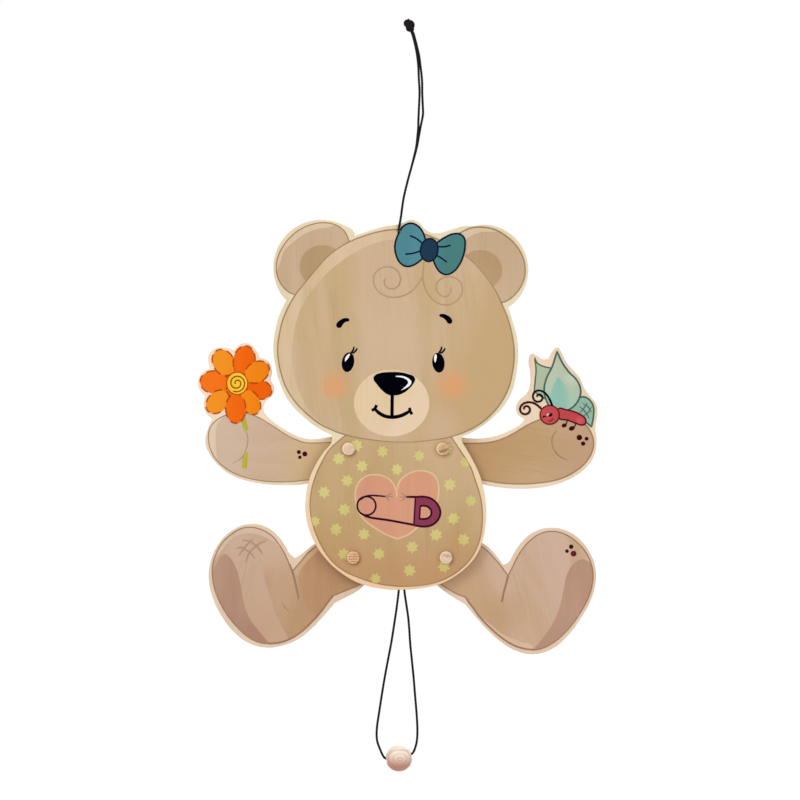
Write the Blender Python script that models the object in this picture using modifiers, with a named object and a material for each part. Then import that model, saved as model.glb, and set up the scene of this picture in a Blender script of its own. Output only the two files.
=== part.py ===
"""A wooden jumping jack: a flat plywood bear that hangs from a cord.

The bear's head and body are one board. Its arms and legs are four boards behind it, each
turning on a wooden peg. Every limb has a short lever on the inner side of its peg. A cross
string joins the two arm levers, another joins the two leg levers, and one pull string ties
both to a loop with a bead. Pulling the bead down turns the levers down and throws the arms
and legs up; let go, they fall back until the cross strings are straight again.

Frame: the origin is the place under the top knot where the cord hangs from its nail.
+Z is up, +X is to the right and the bear faces -Y. Lengths are in metres.
"""
import math

import bmesh
import bpy
from mathutils import Matrix, Vector

MM = 0.001

# Boards
BOARD_THICK = 4.0 * MM
LIMB_THICK = 4.0 * MM
OUTLINE_STEPS = 4             # straight steps between two points of a board's outline

# Gap that is left between pieces that touch
FIT_GAP = 0.3 * MM

# Pegs, washers and rear caps
PEG_HEAD_R = 3.8 * MM
PEG_HEAD_PROUD = 2.4 * MM     # height of the domed head over the front of the board
PEG_RIM = 0.9 * MM            # straight side of the head, under its dome
DOME_STEPS = 6
SHANK_R = 2.0 * MM
SHANK_CHAMFER = 0.3 * MM      # bevel round the rear end of the peg
SHANK_PROUD = 0.6 * MM        # end of the peg over the cap's rear face
WASHER_R = 5.5 * MM
WASHER_THICK = 2.0 * MM
CAP_R = 4.6 * MM
CAP_THICK = 2.6 * MM
CAP_EDGE = 0.6 * MM           # rounding of the cap's rear edge
CAP_EDGE_STEPS = 2
TURNED_STEPS = 24

# Places of the pegs, from the point midway between the shoulders
SHOULDER_SPREAD = 56.5 * MM
HIP_SPREAD = 55.7 * MM
HIP_SHIFT = 2.4 * MM
HIP_DROP = 65.2 * MM

# Cords and knots
CORD_D = 1.3 * MM
CORD_RING = 2                 # bevel resolution of the cords
KNOT_R = 1.6 * CORD_D         # a small knot, across
KNOT_DEEP = 2.4 * CORD_D
KNOT_SIDES = 14
KNOT_RINGS = 8
TOP_KNOT_WIDE = 6.2 * MM
TOP_KNOT_TALL = 8.6 * MM
TOP_KNOT_DEEP = 5.4 * MM
TOP_KNOT_LEAN = math.radians(-26)
TOP_KNOT_FOOT = 0.6 * MM      # the knot's lowest point, above the nail
TURN_R = 1.6 * MM             # bend of a cross string where it turns back into its hole
TURN_STEPS = 4

# Levers: the part of each limb on the inner side of its peg
LEVER_R = 12.0 * MM           # peg to string hole
LEVER_REST = math.radians(30)  # how far the lever points above level at rest
STRING_PLAY = 1.1 * MM        # room round the string, which the swinging hole needs
LEVER_HOLE_R = CORD_D / 2 + STRING_PLAY
LEVER_EDGE = 3.7 * MM         # wood left round the string hole
TIE_KNOT_LAP = 0.8 * MM       # how far a tie knot reaches over the edge of its hole
ARM_BOSS_R = 9.5 * MM         # rounded inner end of an arm, round its peg
LEG_BOSS_R = 13.5 * MM        # and of a leg
BOSS_BELOW = (math.radians(295), math.radians(330))  # where the boss shows in the outline
LEVER_ROUND = (math.radians(-35), math.radians(110))  # the lever's round end
BOSS_ABOVE = (math.radians(100), math.radians(118))  # the boss again, over the lever
BOSS_STEPS = 2
LEVER_STEPS = 5

# The bear on its cord
BEAR_X = -10.1 * MM           # the shoulders' midpoint, from the nail
BEAR_Z = -249.8 * MM
HANG_HOLE_X = 2.0 * MM        # the cord's hole, from the shoulders' midpoint
HANG_HOLE_UNDER = 4.6 * MM    # its centre, below the crown
HANG_PLAY = 1.1 * MM          # room round the cord in that hole
HANG_HOLE_R = CORD_D / 2 + HANG_PLAY

# The pull loop and its bead
PULL_X = 3.6 * MM             # line of the pull string, from the shoulders' midpoint
GATHER_Z = -71.5 * MM         # knot that ties the pull string to the loop
BEAD_R = 8.0 * MM
BEAD_PLAY = 1.35 * MM         # room round the cord in the bead, which hangs on it
BEAD_BORE_R = CORD_D / 2 + BEAD_PLAY
BEAD_MOUTH = 0.5 * MM         # chamfer of the bead's bore
BEAD_X = -8.1 * MM            # the bead's centre, from the nail
BEAD_Z = -435.8 * MM
BEAD_LEAN = math.radians(10)  # rise of its bore towards +X
BEAD_RINGS = 13               # points of its profile

# Depths, from the middle of the front board
BOARD_BACK = BOARD_THICK / 2
LIMB_FRONT = BOARD_BACK + WASHER_THICK + 2 * FIT_GAP
LIMB_BACK = LIMB_FRONT + LIMB_THICK
CAP_FRONT = LIMB_BACK + FIT_GAP
CAP_BACK = CAP_FRONT + CAP_THICK
STRING_Y = (BOARD_BACK + LIMB_FRONT) / 2
BORE_R = SHANK_R + FIT_GAP
BORE_STEPS = 8

# A string end stays midway between the nearest and farthest place of its lever hole
STRING_REACH = LEVER_R * (1 + math.cos(LEVER_REST)) / 2
LEVER_RISE = LEVER_R * math.sin(LEVER_REST)

WOOD = (0.72, 0.56, 0.40)
PALE_WOOD = (0.85, 0.72, 0.55)
LIMB_WOOD = (0.66, 0.49, 0.33)
CORD_BLACK = (0.045, 0.035, 0.045)

# Outlines in millimetres. The board's is from the shoulders' midpoint, a limb's from its peg.
# A third value marks a sharp corner. Arcs are added by name where the outline is built.
BODY_LEFT = [
    (-38.2, 8.3, "corner"), (-38.4, 4.0), (-43.0, -1.7), (-48.7, -10.9), (-52.1, -19.5),
    (-53.9, -30.0), (-54.0, -38.0), (-52.4, -46.5), (-48.2, -57.0), (-40.8, -67.3),
    (-31.6, -75.3), (-21.4, -80.8), (-7.3, -84.1),
]
BODY_RIGHT = [
    (3.4, -84.6), (19.4, -83.0), (28.5, -80.4), (37.4, -75.3), (44.3, -69.4), (49.4, -62.5),
    (52.5, -54.0), (54.2, -44.0), (54.1, -33.0), (52.3, -21.6), (49.4, -13.0), (45.8, -5.8),
    (42.0, 0.8), (39.9, 4.6), (39.5, 7.2, "corner"),
]
CHEEK_RIGHT = [
    (43.0, 8.7), (50.0, 12.4), (57.6, 18.2), (64.8, 25.6), (70.0, 35.0), (72.4, 45.5),
    (73.5, 55.7), (72.8, 66.5), (70.0, 77.2), (67.5, 85.1, "corner"),
]
BOW_BUMP = [
    (39.2, 133.3), (34.5, 131.8), (29.7, 130.3), (25.5, 129.4), (21.2, 129.8),
    (17.3, 132.3), (13.8, 136.0), (9.3, 137.4), (5.2, 136.0), (2.4, 134.9),
]
CROWN = [(-6.1, 133.5), (-15.0, 131.0), (-25.2, 127.6, "corner")]
CHEEK_LEFT = [
    (-65.3, 89.6, "corner"), (-69.6, 80.5), (-72.3, 70.0), (-73.3, 60.5), (-72.0, 49.5),
    (-69.2, 39.0), (-63.6, 28.1), (-55.6, 19.6), (-46.2, 12.4),
]
# An ear is a round stretch: its centre and radius, where it starts and ends, and its points
RIGHT_EAR = (52.4, 107.3, 27.2)
RIGHT_EAR_ENDS = (math.radians(-47), math.radians(104))
RIGHT_EAR_STEPS = 9
LEFT_EAR = (-44.6, 108.7, 28.7)
LEFT_EAR_ENDS = (math.radians(46), math.radians(220))
LEFT_EAR_STEPS = 10

ARM_WITH_FLOWER = [
    (-10.7, 7.2), (-20.5, 5.6), (-28.5, 6.6), (-37.7, 10.9), (-46.3, 16.9), (-50.9, 21.6),
    (-51.6, 25.2, "corner"), (-49.9, 28.8), (-46.1, 32.2), (-45.1, 37.0), (-47.2, 41.3, "corner"),
    (-46.3, 47.4), (-48.6, 52.6), (-53.6, 54.8, "corner"), (-56.1, 59.6), (-59.6, 62.9),
    (-64.4, 63.2), (-68.6, 59.3, "corner"), (-73.2, 60.4), (-79.0, 60.7), (-84.0, 56.8),
    (-84.3, 51.5), (-83.5, 48.4, "corner"), (-87.8, 45.8), (-90.6, 40.4), (-89.4, 35.2),
    (-86.2, 31.6, "corner"), (-87.2, 26.4), (-85.4, 21.2), (-82.0, 18.2, "corner"),
    (-84.5, 12.3), (-86.2, 4.4), (-83.8, -2.9), (-77.9, -10.3), (-69.3, -16.4), (-57.5, -20.1),
    (-41.1, -21.8), (-24.3, -20.9), (-10.0, -16.5),
]
ARM_WITH_BUTTERFLY = [
    (11.2, 6.9), (21.8, 6.0), (29.3, 6.9), (36.2, 8.9), (42.5, 11.8), (47.9, 15.4),
    (49.5, 18.0, "corner"), (46.4, 19.8), (44.4, 23.6), (46.2, 28.9), (50.6, 33.0),
    (52.6, 37.2), (52.8, 46.0), (52.0, 53.6), (53.6, 57.0), (57.0, 55.6), (60.2, 53.9),
    (64.0, 54.2, "corner"), (67.0, 59.6), (69.1, 60.8), (71.2, 58.4), (74.1, 52.7),
    (77.8, 47.9), (82.6, 42.5), (85.1, 36.7), (88.6, 31.7), (92.2, 27.0), (93.1, 21.0),
    (91.8, 13.2), (92.7, 4.4), (90.8, -5.0), (86.2, -11.4), (79.3, -16.7), (67.8, -21.5),
    (56.3, -23.6), (46.0, -24.0), (34.8, -23.3), (24.4, -21.4), (10.0, -16.5),
]
LEFT_LEG = [
    (-13.5, 11.9), (-22.7, 8.3), (-29.0, 3.4), (-34.9, -0.9, "corner"), (-38.6, 2.2),
    (-41.0, 6.6), (-46.2, 13.4), (-53.0, 18.2), (-62.4, 19.8), (-73.2, 15.8), (-81.4, 7.3),
    (-86.0, -3.3), (-86.9, -13.6), (-84.2, -25.2), (-79.2, -35.4), (-72.4, -44.4),
    (-63.4, -51.4), (-52.8, -54.4), (-43.6, -53.4), (-33.7, -49.7), (-25.2, -43.1),
    (-17.0, -34.4), (-11.1, -27.6, "corner"), (-4.3, -24.0), (1.5, -21.0), (6.4, -17.0),
    (9.2, -13.2),
]
RIGHT_LEG = [
    (13.0, 12.5), (21.7, 8.6), (27.8, 3.8), (34.7, -5.0, "corner"), (38.0, -3.0),
    (41.0, 2.2), (46.5, 9.8), (54.0, 15.4), (63.4, 17.6), (72.6, 15.8), (80.6, 10.6),
    (86.6, 2.6), (89.9, -6.4), (90.0, -15.4), (87.2, -25.8), (81.5, -36.3), (73.4, -47.2),
    (64.2, -55.0), (53.0, -58.4), (43.0, -56.6), (33.5, -51.3), (24.3, -43.0), (17.0, -34.8),
    (11.8, -28.5, "corner"), (3.8, -23.7), (-0.8, -20.6), (-5.0, -17.2), (-8.6, -13.2),
]

# Route of the hanging cord in millimetres, from the nail: x, y, z
HANGING_ROUTE = [
    (-0.3, -0.7, 0.1), (1.7, -0.7, -7.5), (2.8, -0.55, -13.5), (3.5, -0.45, -19.5),
    (3.9, -0.2, -28.0), (4.3, -0.2, -35.5), (4.1, -0.2, -41.5), (3.8, -0.3, -48.3),
    (3.6, -0.45, -52.5), (3.5, -0.6, -57.0), (3.1, -0.7, -61.5), (2.2, -0.85, -69.0),
    (-0.4, -0.85, -80.0), (-3.1, -0.85, -90.0), (-5.4, -1.1, -100.0), (-6.8, -2.2, -110.0),
    (-7.5, -2.95, -114.2), (-8.0, -3.05, -117.0), (-8.05, -2.65, -118.65),
    (-8.1, -1.5, -119.75), (-8.1, 0.0, -120.15), (-8.1, 1.5, -119.75), (-8.05, 2.65, -118.65),
    (-8.0, 3.05, -117.0), (-7.5, 2.95, -114.2), (-6.8, 2.2, -110.0),
    (-5.4, 1.1, -100.0), (-3.1, 0.85, -90.0), (-0.4, 0.85, -80.0), (2.6, 0.85, -69.0),
    (4.1, 0.7, -61.0), (4.9, 0.6, -56.5), (5.9, 0.4, -51.8), (6.4, 0.3, -48.4),
    (6.3, 0.2, -44.7), (5.95, 0.2, -37.5), (5.75, 0.2, -28.0), (4.8, 0.45, -19.5),
    (4.0, 0.55, -13.5), (2.6, 0.7, -7.5), (0.6, 0.7, 0.1),
]
# Route of the pull loop: x, z. All of it lies in the plane of the strings.
PULL_ROUTE = [
    (-7.3, -323.6), (-7.9, -330.5), (-8.3, -336.0), (-9.4, -345.0), (-10.9, -355.1),
    (-12.7, -366.5), (-15.1, -379.0), (-17.1, -390.0), (-18.8, -400.5), (-20.1, -409.0),
    (-21.2, -416.5), (-21.5, -421.5), (-21.2, -425.2), (-20.3, -428.3), (-19.2, -431.0),
    (-18.2, -433.3), (-17.3, -434.9), (-16.3, -435.9), (-15.0, -436.2), (-11.5, -435.5),
    (-4.5, -434.2), (-2.0, -433.72), (-0.7, -433.4), (0.3, -432.6), (1.1, -431.2),
    (1.9, -428.9), (2.6, -426.0), (2.95, -422.5), (3.0, -418.0), (2.8, -413.0), (2.3, -406.0),
    (1.6, -398.0), (0.8, -388.0), (-0.3, -377.0), (-1.3, -367.0), (-1.9, -358.0),
    (-2.6, -350.5), (-3.7, -343.0), (-4.7, -336.0), (-5.1, -330.5), (-5.7, -323.6),
]
ROUTE_STEP = 3.6 * MM         # spacing of a cord's points on its straighter stretches


def clear_scene():
    """Remove what the file holds, so that the script can run again and again."""
    for thing in list(bpy.data.objects):
        bpy.data.objects.remove(thing)


def new_collection(name):
    collection = bpy.data.collections.new(name)
    bpy.context.scene.collection.children.link(collection)
    return collection


def material(name, colour, roughness):
    """A plain finish with the piece's colour and roughness."""
    finish = bpy.data.materials.new(name)
    finish.use_nodes = True
    surface = finish.node_tree.nodes["Principled BSDF"]
    surface.inputs["Base Color"].default_value = (*colour, 1)
    surface.inputs["Roughness"].default_value = roughness
    surface.inputs["Metallic"].default_value = 0.0
    return finish


def add(name, data, finish, place=(0, 0, 0), turn=(0, 0, 0), parent=None):
    """Put a piece in the toy's collection, at its place under its parent."""
    piece = bpy.data.objects.new(name, data)
    toy.objects.link(piece)
    piece.location = place
    piece.rotation_euler = turn
    piece.parent = parent
    data.materials.append(finish)
    return piece


def arc(centre_x, centre_z, radius, first, last, count):
    """Points in millimetres on a round stretch from one angle to another."""
    points = []
    for step in range(count):
        angle = first + (last - first) * step / (count - 1)
        points.append((centre_x + radius * math.cos(angle), centre_z + radius * math.sin(angle)))
    return points


def board_outline():
    """The head and body in one outline, anticlockwise from the notch at the left of the neck."""
    outline = BODY_LEFT + BODY_RIGHT + CHEEK_RIGHT
    outline += arc(*RIGHT_EAR, *RIGHT_EAR_ENDS, RIGHT_EAR_STEPS)
    outline += BOW_BUMP + CROWN
    outline += arc(*LEFT_EAR, *LEFT_EAR_ENDS, LEFT_EAR_STEPS)
    return outline + CHEEK_LEFT


def inner_end(side, boss_r):
    """The rounded end of a limb behind the body: the boss round its peg and the lever.

    side is +1 where the lever points to +X, as on the limbs at the left of the picture.
    The points run anticlockwise for +1 and clockwise for -1.
    """
    boss = boss_r / MM
    lever_x = LEVER_R * math.cos(LEVER_REST) / MM
    lever_z = LEVER_RISE / MM
    edge = (LEVER_HOLE_R + LEVER_EDGE) / MM
    points = arc(0, 0, boss, *BOSS_BELOW, BOSS_STEPS)
    points += arc(lever_x, lever_z, edge, *LEVER_ROUND, LEVER_STEPS)
    points += arc(0, 0, boss, *BOSS_ABOVE, BOSS_STEPS)
    return [(side * x, z) for x, z in points]


def closed_spline(curve, points, scale=MM):
    """One closed outline through its points, smooth but for its corners."""
    spline = curve.splines.new("BEZIER")
    spline.bezier_points.add(len(points) - 1)
    spline.use_cyclic_u = True
    spline.resolution_u = OUTLINE_STEPS
    for knot, point in zip(spline.bezier_points, points):
        knot.co = (point[0] * scale, point[1] * scale, 0)
        handle = "VECTOR" if len(point) > 2 else "AUTO"
        knot.handle_left_type = handle
        knot.handle_right_type = handle


def round_hole(curve, x, z, radius):
    """A round opening in a flat outline."""
    angles = [math.tau * step / BORE_STEPS for step in range(BORE_STEPS)]
    points = [(x + radius * math.cos(angle), z + radius * math.sin(angle)) for angle in angles]
    closed_spline(curve, points, scale=1)


def flat_board(name, outline, holes, thick, finish, place, parent):
    """A board cut from plywood: its outline in X and Z, its thickness along Y."""
    curve = bpy.data.curves.new(name, "CURVE")
    curve.dimensions = "2D"
    curve.fill_mode = "BOTH"
    curve.extrude = thick / 2
    closed_spline(curve, outline)
    for hole in holes:
        round_hole(curve, *hole)
    return add(name, curve, finish, place, (math.radians(90), 0, 0), parent)


def turned(name, profile, finish, place, turn, parent, closed=False):
    """A piece turned on a lathe: its profile (radius, height) runs down the outer side."""
    mesh = bpy.data.meshes.new(name)
    shape = bmesh.new()
    corners = [shape.verts.new((radius, 0, height)) for radius, height in profile]
    for first, second in zip(corners, corners[1:]):
        shape.edges.new((first, second))
    if closed:
        shape.edges.new((corners[-1], corners[0]))
    shape.to_mesh(mesh)
    shape.free()
    piece = add(name, mesh, finish, place, turn, parent)
    screw = piece.modifiers.new("turning", "SCREW")
    screw.steps = TURNED_STEPS
    screw.render_steps = TURNED_STEPS
    screw.use_merge_vertices = True
    screw.merge_threshold = 0.00001
    screw.use_smooth_shade = True
    return piece


def smooth_route(points, step):
    """Points about a step apart on a smooth curve through a route (centripetal Catmull-Rom)."""
    points = [Vector(point) for point in points]
    points = [2 * points[0] - points[1]] + points + [2 * points[-1] - points[-2]]
    route = []
    for before, start, end, after in zip(points, points[1:], points[2:], points[3:]):
        time_1 = (start - before).length ** 0.5
        time_2 = time_1 + (end - start).length ** 0.5
        time_3 = time_2 + (after - end).length ** 0.5
        count = max(2, round((end - start).length / step))
        for part in range(count):
            time = time_1 + (time_2 - time_1) * part / count
            a_1 = before.lerp(start, time / time_1)
            a_2 = start.lerp(end, (time - time_1) / (time_2 - time_1))
            a_3 = end.lerp(after, (time - time_2) / (time_3 - time_2))
            b_1 = a_1.lerp(a_2, time / time_2)
            b_2 = a_2.lerp(a_3, (time - time_1) / (time_3 - time_1))
            route.append(b_1.lerp(b_2, (time - time_1) / (time_2 - time_1)))
    return route + [points[-2]]


def cord(name, route, finish, parent):
    """A cord as a round tube along its route."""
    curve = bpy.data.curves.new(name, "CURVE")
    curve.dimensions = "3D"
    curve.bevel_depth = CORD_D / 2
    curve.bevel_resolution = CORD_RING
    curve.use_fill_caps = True
    spline = curve.splines.new("POLY")
    spline.points.add(len(route) - 1)
    for knot, point in zip(spline.points, route):
        knot.co = (*point, 1)
    return add(name, curve, finish, parent=parent)


def knot(name, wide, deep, tall, finish, place, turn, parent):
    """A tied knot as a plain rounded solid."""
    mesh = bpy.data.meshes.new(name)
    shape = bmesh.new()
    bmesh.ops.create_uvsphere(shape, u_segments=KNOT_SIDES, v_segments=KNOT_RINGS, radius=0.5)
    bmesh.ops.scale(shape, vec=(wide, deep, tall), verts=shape.verts)
    shape.to_mesh(mesh)
    shape.free()
    mesh.shade_smooth()
    return add(name, mesh, finish, place, turn, parent)


def front_board(parent):
    """Head and body, with four peg holes and the hole for the hanging cord."""
    holes = [(x, z, BORE_R) for x, z in pegs.values()]
    crown_z = BOW_BUMP[-1][1] * MM
    holes.append((HANG_HOLE_X, crown_z - HANG_HOLE_UNDER, HANG_HOLE_R))
    finish = material("board_print", WOOD, 0.5)
    flat_board("front_board", board_outline(), holes, BOARD_THICK, finish, (0, 0, 0), parent)


def limb(name, outline, boss_r, side, parent):
    """An arm or a leg on its peg, with the peg's bore and the string hole in its lever."""
    lever_x = side * LEVER_R * math.cos(LEVER_REST)
    holes = [(0, 0, BORE_R), (lever_x, LEVER_RISE, LEVER_HOLE_R)]
    finish = material(name + "_print", LIMB_WOOD, 0.5)
    place = (0, LIMB_FRONT + LIMB_THICK / 2, 0)
    flat_board(name, outline + inner_end(side, boss_r), holes, LIMB_THICK, finish, place, parent)


def peg_set(name, finish, parent):
    """A peg through board and limb, the washer between them and the cap that holds the limb."""
    facing = (math.radians(90), 0, 0)
    front = BOARD_THICK / 2 + FIT_GAP
    dome = PEG_HEAD_PROUD - PEG_RIM
    tip = front + PEG_HEAD_PROUD
    end = -(CAP_BACK + SHANK_PROUD)
    profile = [(0, tip)]
    for step in range(1, DOME_STEPS):
        angle = math.radians(90 * step / DOME_STEPS)
        profile.append((PEG_HEAD_R * math.sin(angle), front + PEG_RIM + dome * math.cos(angle)))
    profile += [(PEG_HEAD_R, front + PEG_RIM), (PEG_HEAD_R, front), (SHANK_R, front),
                (SHANK_R, end + SHANK_CHAMFER), (SHANK_R - SHANK_CHAMFER, end), (0, end)]
    turned(name + "_peg", profile, finish, (0, 0, 0), facing, parent)

    washer_front = -(BOARD_BACK + FIT_GAP)
    washer_back = washer_front - WASHER_THICK
    ring = [(BORE_R, washer_front), (WASHER_R, washer_front), (WASHER_R, washer_back),
            (BORE_R, washer_back)]
    turned(name + "_washer", ring, finish, (0, 0, 0), facing, parent, closed=True)

    ring = [(BORE_R, -CAP_FRONT), (CAP_R, -CAP_FRONT)]
    for step in range(CAP_EDGE_STEPS + 1):
        angle = math.radians(90 * step / CAP_EDGE_STEPS)
        ring.append((CAP_R - CAP_EDGE * (1 - math.cos(angle)),
                     CAP_EDGE * (1 - math.sin(angle)) - CAP_BACK))
    ring.append((BORE_R, -CAP_BACK))
    turned(name + "_cap", ring, finish, (0, 0, 0), facing, parent, closed=True)


def cross_string(name, knot_x, peg_x, side, height, finish, parent):
    """Half of a cross string: from the middle knot to a lever hole, then back through it."""
    start = knot_x - side * (KNOT_R + FIT_GAP)
    end = peg_x + side * STRING_REACH
    turn_x = end + side * TURN_R
    turn_y = STRING_Y + TURN_R
    route = [(start, STRING_Y, height)]
    for step in range(TURN_STEPS + 1):
        angle = math.radians(90 * step / TURN_STEPS)
        route.append((turn_x - side * TURN_R * math.sin(angle),
                      turn_y - TURN_R * math.cos(angle), height))
    route.append((end, (turn_y + LIMB_BACK) / 2, height))
    route.append((end, LIMB_BACK, height))
    cord(name, route, finish, parent)


def pull_strings(finish, parent):
    """The cross strings, the pull string and all their knots, which move down together."""
    knot_y = BOARD_BACK + FIT_GAP + KNOT_DEEP / 2
    tie_y = LIMB_BACK + FIT_GAP + KNOT_DEEP / 2
    small = (2 * KNOT_R, KNOT_DEEP, 2 * KNOT_R)
    wide = 2 * (LEVER_HOLE_R + TIE_KNOT_LAP)
    level = (0, 0, 0)
    heights = {"arm": LEVER_RISE, "leg": LEVER_RISE - HIP_DROP}
    for kind, height in heights.items():
        knot(kind + "_string_knot", *small, finish, (PULL_X, knot_y, height), level, parent)
        for hand, side in (("left", 1), ("right", -1)):
            name = hand + "_" + kind
            peg_x = pegs[name][0]
            cross_string(name + "_string", PULL_X, peg_x, side, height, finish, parent)
            place = (peg_x + side * STRING_REACH, tie_y, height)
            knot(name + "_tie_knot", wide, KNOT_DEEP, wide, finish, place, level, parent)

    knot("gather_knot", *small, finish, (PULL_X, knot_y, GATHER_Z), level, parent)
    stops = [heights["arm"], heights["leg"], GATHER_Z]
    for name, upper, lower in zip(("upper", "lower"), stops, stops[1:]):
        ends = (upper - KNOT_R - FIT_GAP, lower + KNOT_R + FIT_GAP)
        cord("pull_string_" + name, [(PULL_X, STRING_Y, z) for z in ends], finish, parent)


def bead(finish):
    """The round wooden bead, with its leaning bore."""
    bottom = math.asin((BEAD_BORE_R + BEAD_MOUTH) / BEAD_R)
    profile = []
    for step in range(BEAD_RINGS):
        angle = bottom + (math.pi - 2 * bottom) * step / (BEAD_RINGS - 1)
        profile.append((BEAD_R * math.sin(angle), BEAD_R * math.cos(angle)))
    mouth = BEAD_R * math.cos(bottom) - BEAD_MOUTH
    profile += [(BEAD_BORE_R, -mouth), (BEAD_BORE_R, mouth)]
    place = (BEAD_X, STRING_Y, BEAD_Z)
    lean = (0, math.radians(90) - BEAD_LEAN, 0)
    turned("pull_bead", profile, finish, place, lean, None, closed=True)


clear_scene()
toy = new_collection("jumping_jack")

pegs = {
    "left_arm": (-SHOULDER_SPREAD / 2, 0.0),
    "right_arm": (SHOULDER_SPREAD / 2, 0.0),
    "left_leg": (HIP_SHIFT - HIP_SPREAD / 2, -HIP_DROP),
    "right_leg": (HIP_SHIFT + HIP_SPREAD / 2, -HIP_DROP),
}
limb_shapes = {
    "left_arm": (ARM_WITH_FLOWER, ARM_BOSS_R),
    "right_arm": (ARM_WITH_BUTTERFLY, ARM_BOSS_R),
    "left_leg": (LEFT_LEG, LEG_BOSS_R),
    "right_leg": (RIGHT_LEG, LEG_BOSS_R),
}

bear = bpy.data.objects.new("bear", None)
toy.objects.link(bear)
bear.location = (BEAR_X, 0, BEAR_Z)

peg_wood = material("peg_wood", PALE_WOOD, 0.5)
cord_black = material("cord_black", CORD_BLACK, 0.8)

front_board(bear)
for limb_name, (peg_x, peg_z) in pegs.items():
    pivot = bpy.data.objects.new(limb_name + "_pivot", None)
    toy.objects.link(pivot)
    pivot.parent = bear
    pivot.location = (peg_x, 0, peg_z)
    limb(limb_name, *limb_shapes[limb_name], 1 if "left" in limb_name else -1, pivot)
    peg_set(limb_name, peg_wood, pivot)

pull_strings(cord_black, bear)
hanging_route = [Vector(point) * MM for point in HANGING_ROUTE]
cord("hanging_loop", smooth_route(hanging_route, ROUTE_STEP), cord_black, None)
top_knot_place = Matrix.Rotation(TOP_KNOT_LEAN, 4, "Y") @ Vector((0, 0, TOP_KNOT_TALL / 2))
top_knot_place.z += TOP_KNOT_FOOT
knot("hanging_knot", TOP_KNOT_WIDE, TOP_KNOT_DEEP, TOP_KNOT_TALL, cord_black,
     top_knot_place, (0, TOP_KNOT_LEAN, 0), None)
pull_route = [Vector((x * MM, STRING_Y, z * MM)) for x, z in PULL_ROUTE]
cord("pull_loop", smooth_route(pull_route, ROUTE_STEP), cord_black, None)
bead(peg_wood)
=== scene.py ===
"""Looks of the wooden jumping jack: printed plywood boards, dowel pegs, braided cord and a bead.

Lengths are in metres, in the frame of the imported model: the nail is the origin, +Z is up and
the bear faces -Y. The printed picture is placed by pixels of the 800 by 800 photograph, which
spot() turns into places on the boards. Every printed shape is a thin layer on its board.
"""
import math

import bmesh
import bpy
from mathutils import Matrix, Vector


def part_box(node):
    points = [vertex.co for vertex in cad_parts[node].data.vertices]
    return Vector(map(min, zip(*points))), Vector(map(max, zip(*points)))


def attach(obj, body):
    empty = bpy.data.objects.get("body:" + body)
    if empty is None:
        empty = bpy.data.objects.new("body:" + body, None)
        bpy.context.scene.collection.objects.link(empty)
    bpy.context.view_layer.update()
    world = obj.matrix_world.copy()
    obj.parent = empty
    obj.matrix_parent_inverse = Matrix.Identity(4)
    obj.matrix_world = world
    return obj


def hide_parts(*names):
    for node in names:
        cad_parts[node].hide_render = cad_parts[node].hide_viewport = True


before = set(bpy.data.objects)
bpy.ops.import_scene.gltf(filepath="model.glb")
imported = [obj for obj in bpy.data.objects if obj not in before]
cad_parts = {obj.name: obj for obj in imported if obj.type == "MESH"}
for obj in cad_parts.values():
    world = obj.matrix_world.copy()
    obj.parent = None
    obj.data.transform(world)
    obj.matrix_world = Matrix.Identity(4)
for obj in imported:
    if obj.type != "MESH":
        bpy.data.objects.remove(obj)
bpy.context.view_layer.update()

MM = 0.001
PIXEL = 0.6 * MM              # one pixel of the photograph, at the front of the board
NAIL_PIXEL = (412.4, 32.5)    # where the photograph shows the nail's place
PICTURE = 800                 # width and height of the photograph in pixels

BOARD_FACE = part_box("front_board")[0].y
LIMB_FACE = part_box("left_arm")[0].y
BOARD_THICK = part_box("front_board")[1].y - BOARD_FACE
LIMB_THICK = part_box("left_arm")[1].y - LIMB_FACE

EDGE_ROUND = 0.35 * MM        # sanded edge of the boards
PAINT = 0.04 * MM             # one layer of the print
PAINT_ROOT = 0.06 * MM        # how deep a printed layer is rooted in its board
LINE_PROUD = 0.03 * MM        # a printed line over its layer
STROKE_FLAT = math.cos(math.radians(30))    # share of a six-sided stroke's depth that it is wide

CORD_D = 1.3 * MM

# Printed shapes, in pixels of the photograph. A third value marks a sharp corner, or is the
# width of the printed line there where it isn't 1.
HEAD = [
    (277.7, 348.5), (279.5, 334), (283.2, 319), (288.4, 307), (295.4, 295), (305.6, 282.2, 0.6),
    (316.4, 269.4, 0.45), (330.6, 254.2, 0.6), (349.9, 241.7), (365.4, 235.6), (380.5, 231.4),
    (397.7, 229.5), (414, 231), (430.5, 236.3), (449, 245), (465.5, 255.8, 0.6),
    (477.6, 267.2, 0.45), (487.5, 279, 0.45), (495.5, 291, 0.8), (501.8, 304), (508.2, 320), (512.6, 338), (514.1, 356),
    (512.4, 372), (508.4, 388), (500.3, 403.5), (489.5, 416), (477.5, 425.4), (465.4, 431.6),
    (451, 436.6, 0.8), (434.8, 439.6, 0.6), (417.6, 441.5, 0.5), (400.4, 442, 0.5),
    (384.3, 441.2, 0.5), (368.2, 439.2, 0.6), (354.4, 436.9, 0.8), (342.4, 433.8),
    (331.5, 429.7), (319.5, 423.6), (308.7, 415.3),
    (299.5, 406.6), (291.4, 396.4), (285.5, 386), (281.3, 374), (278.6, 361),
]
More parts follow.
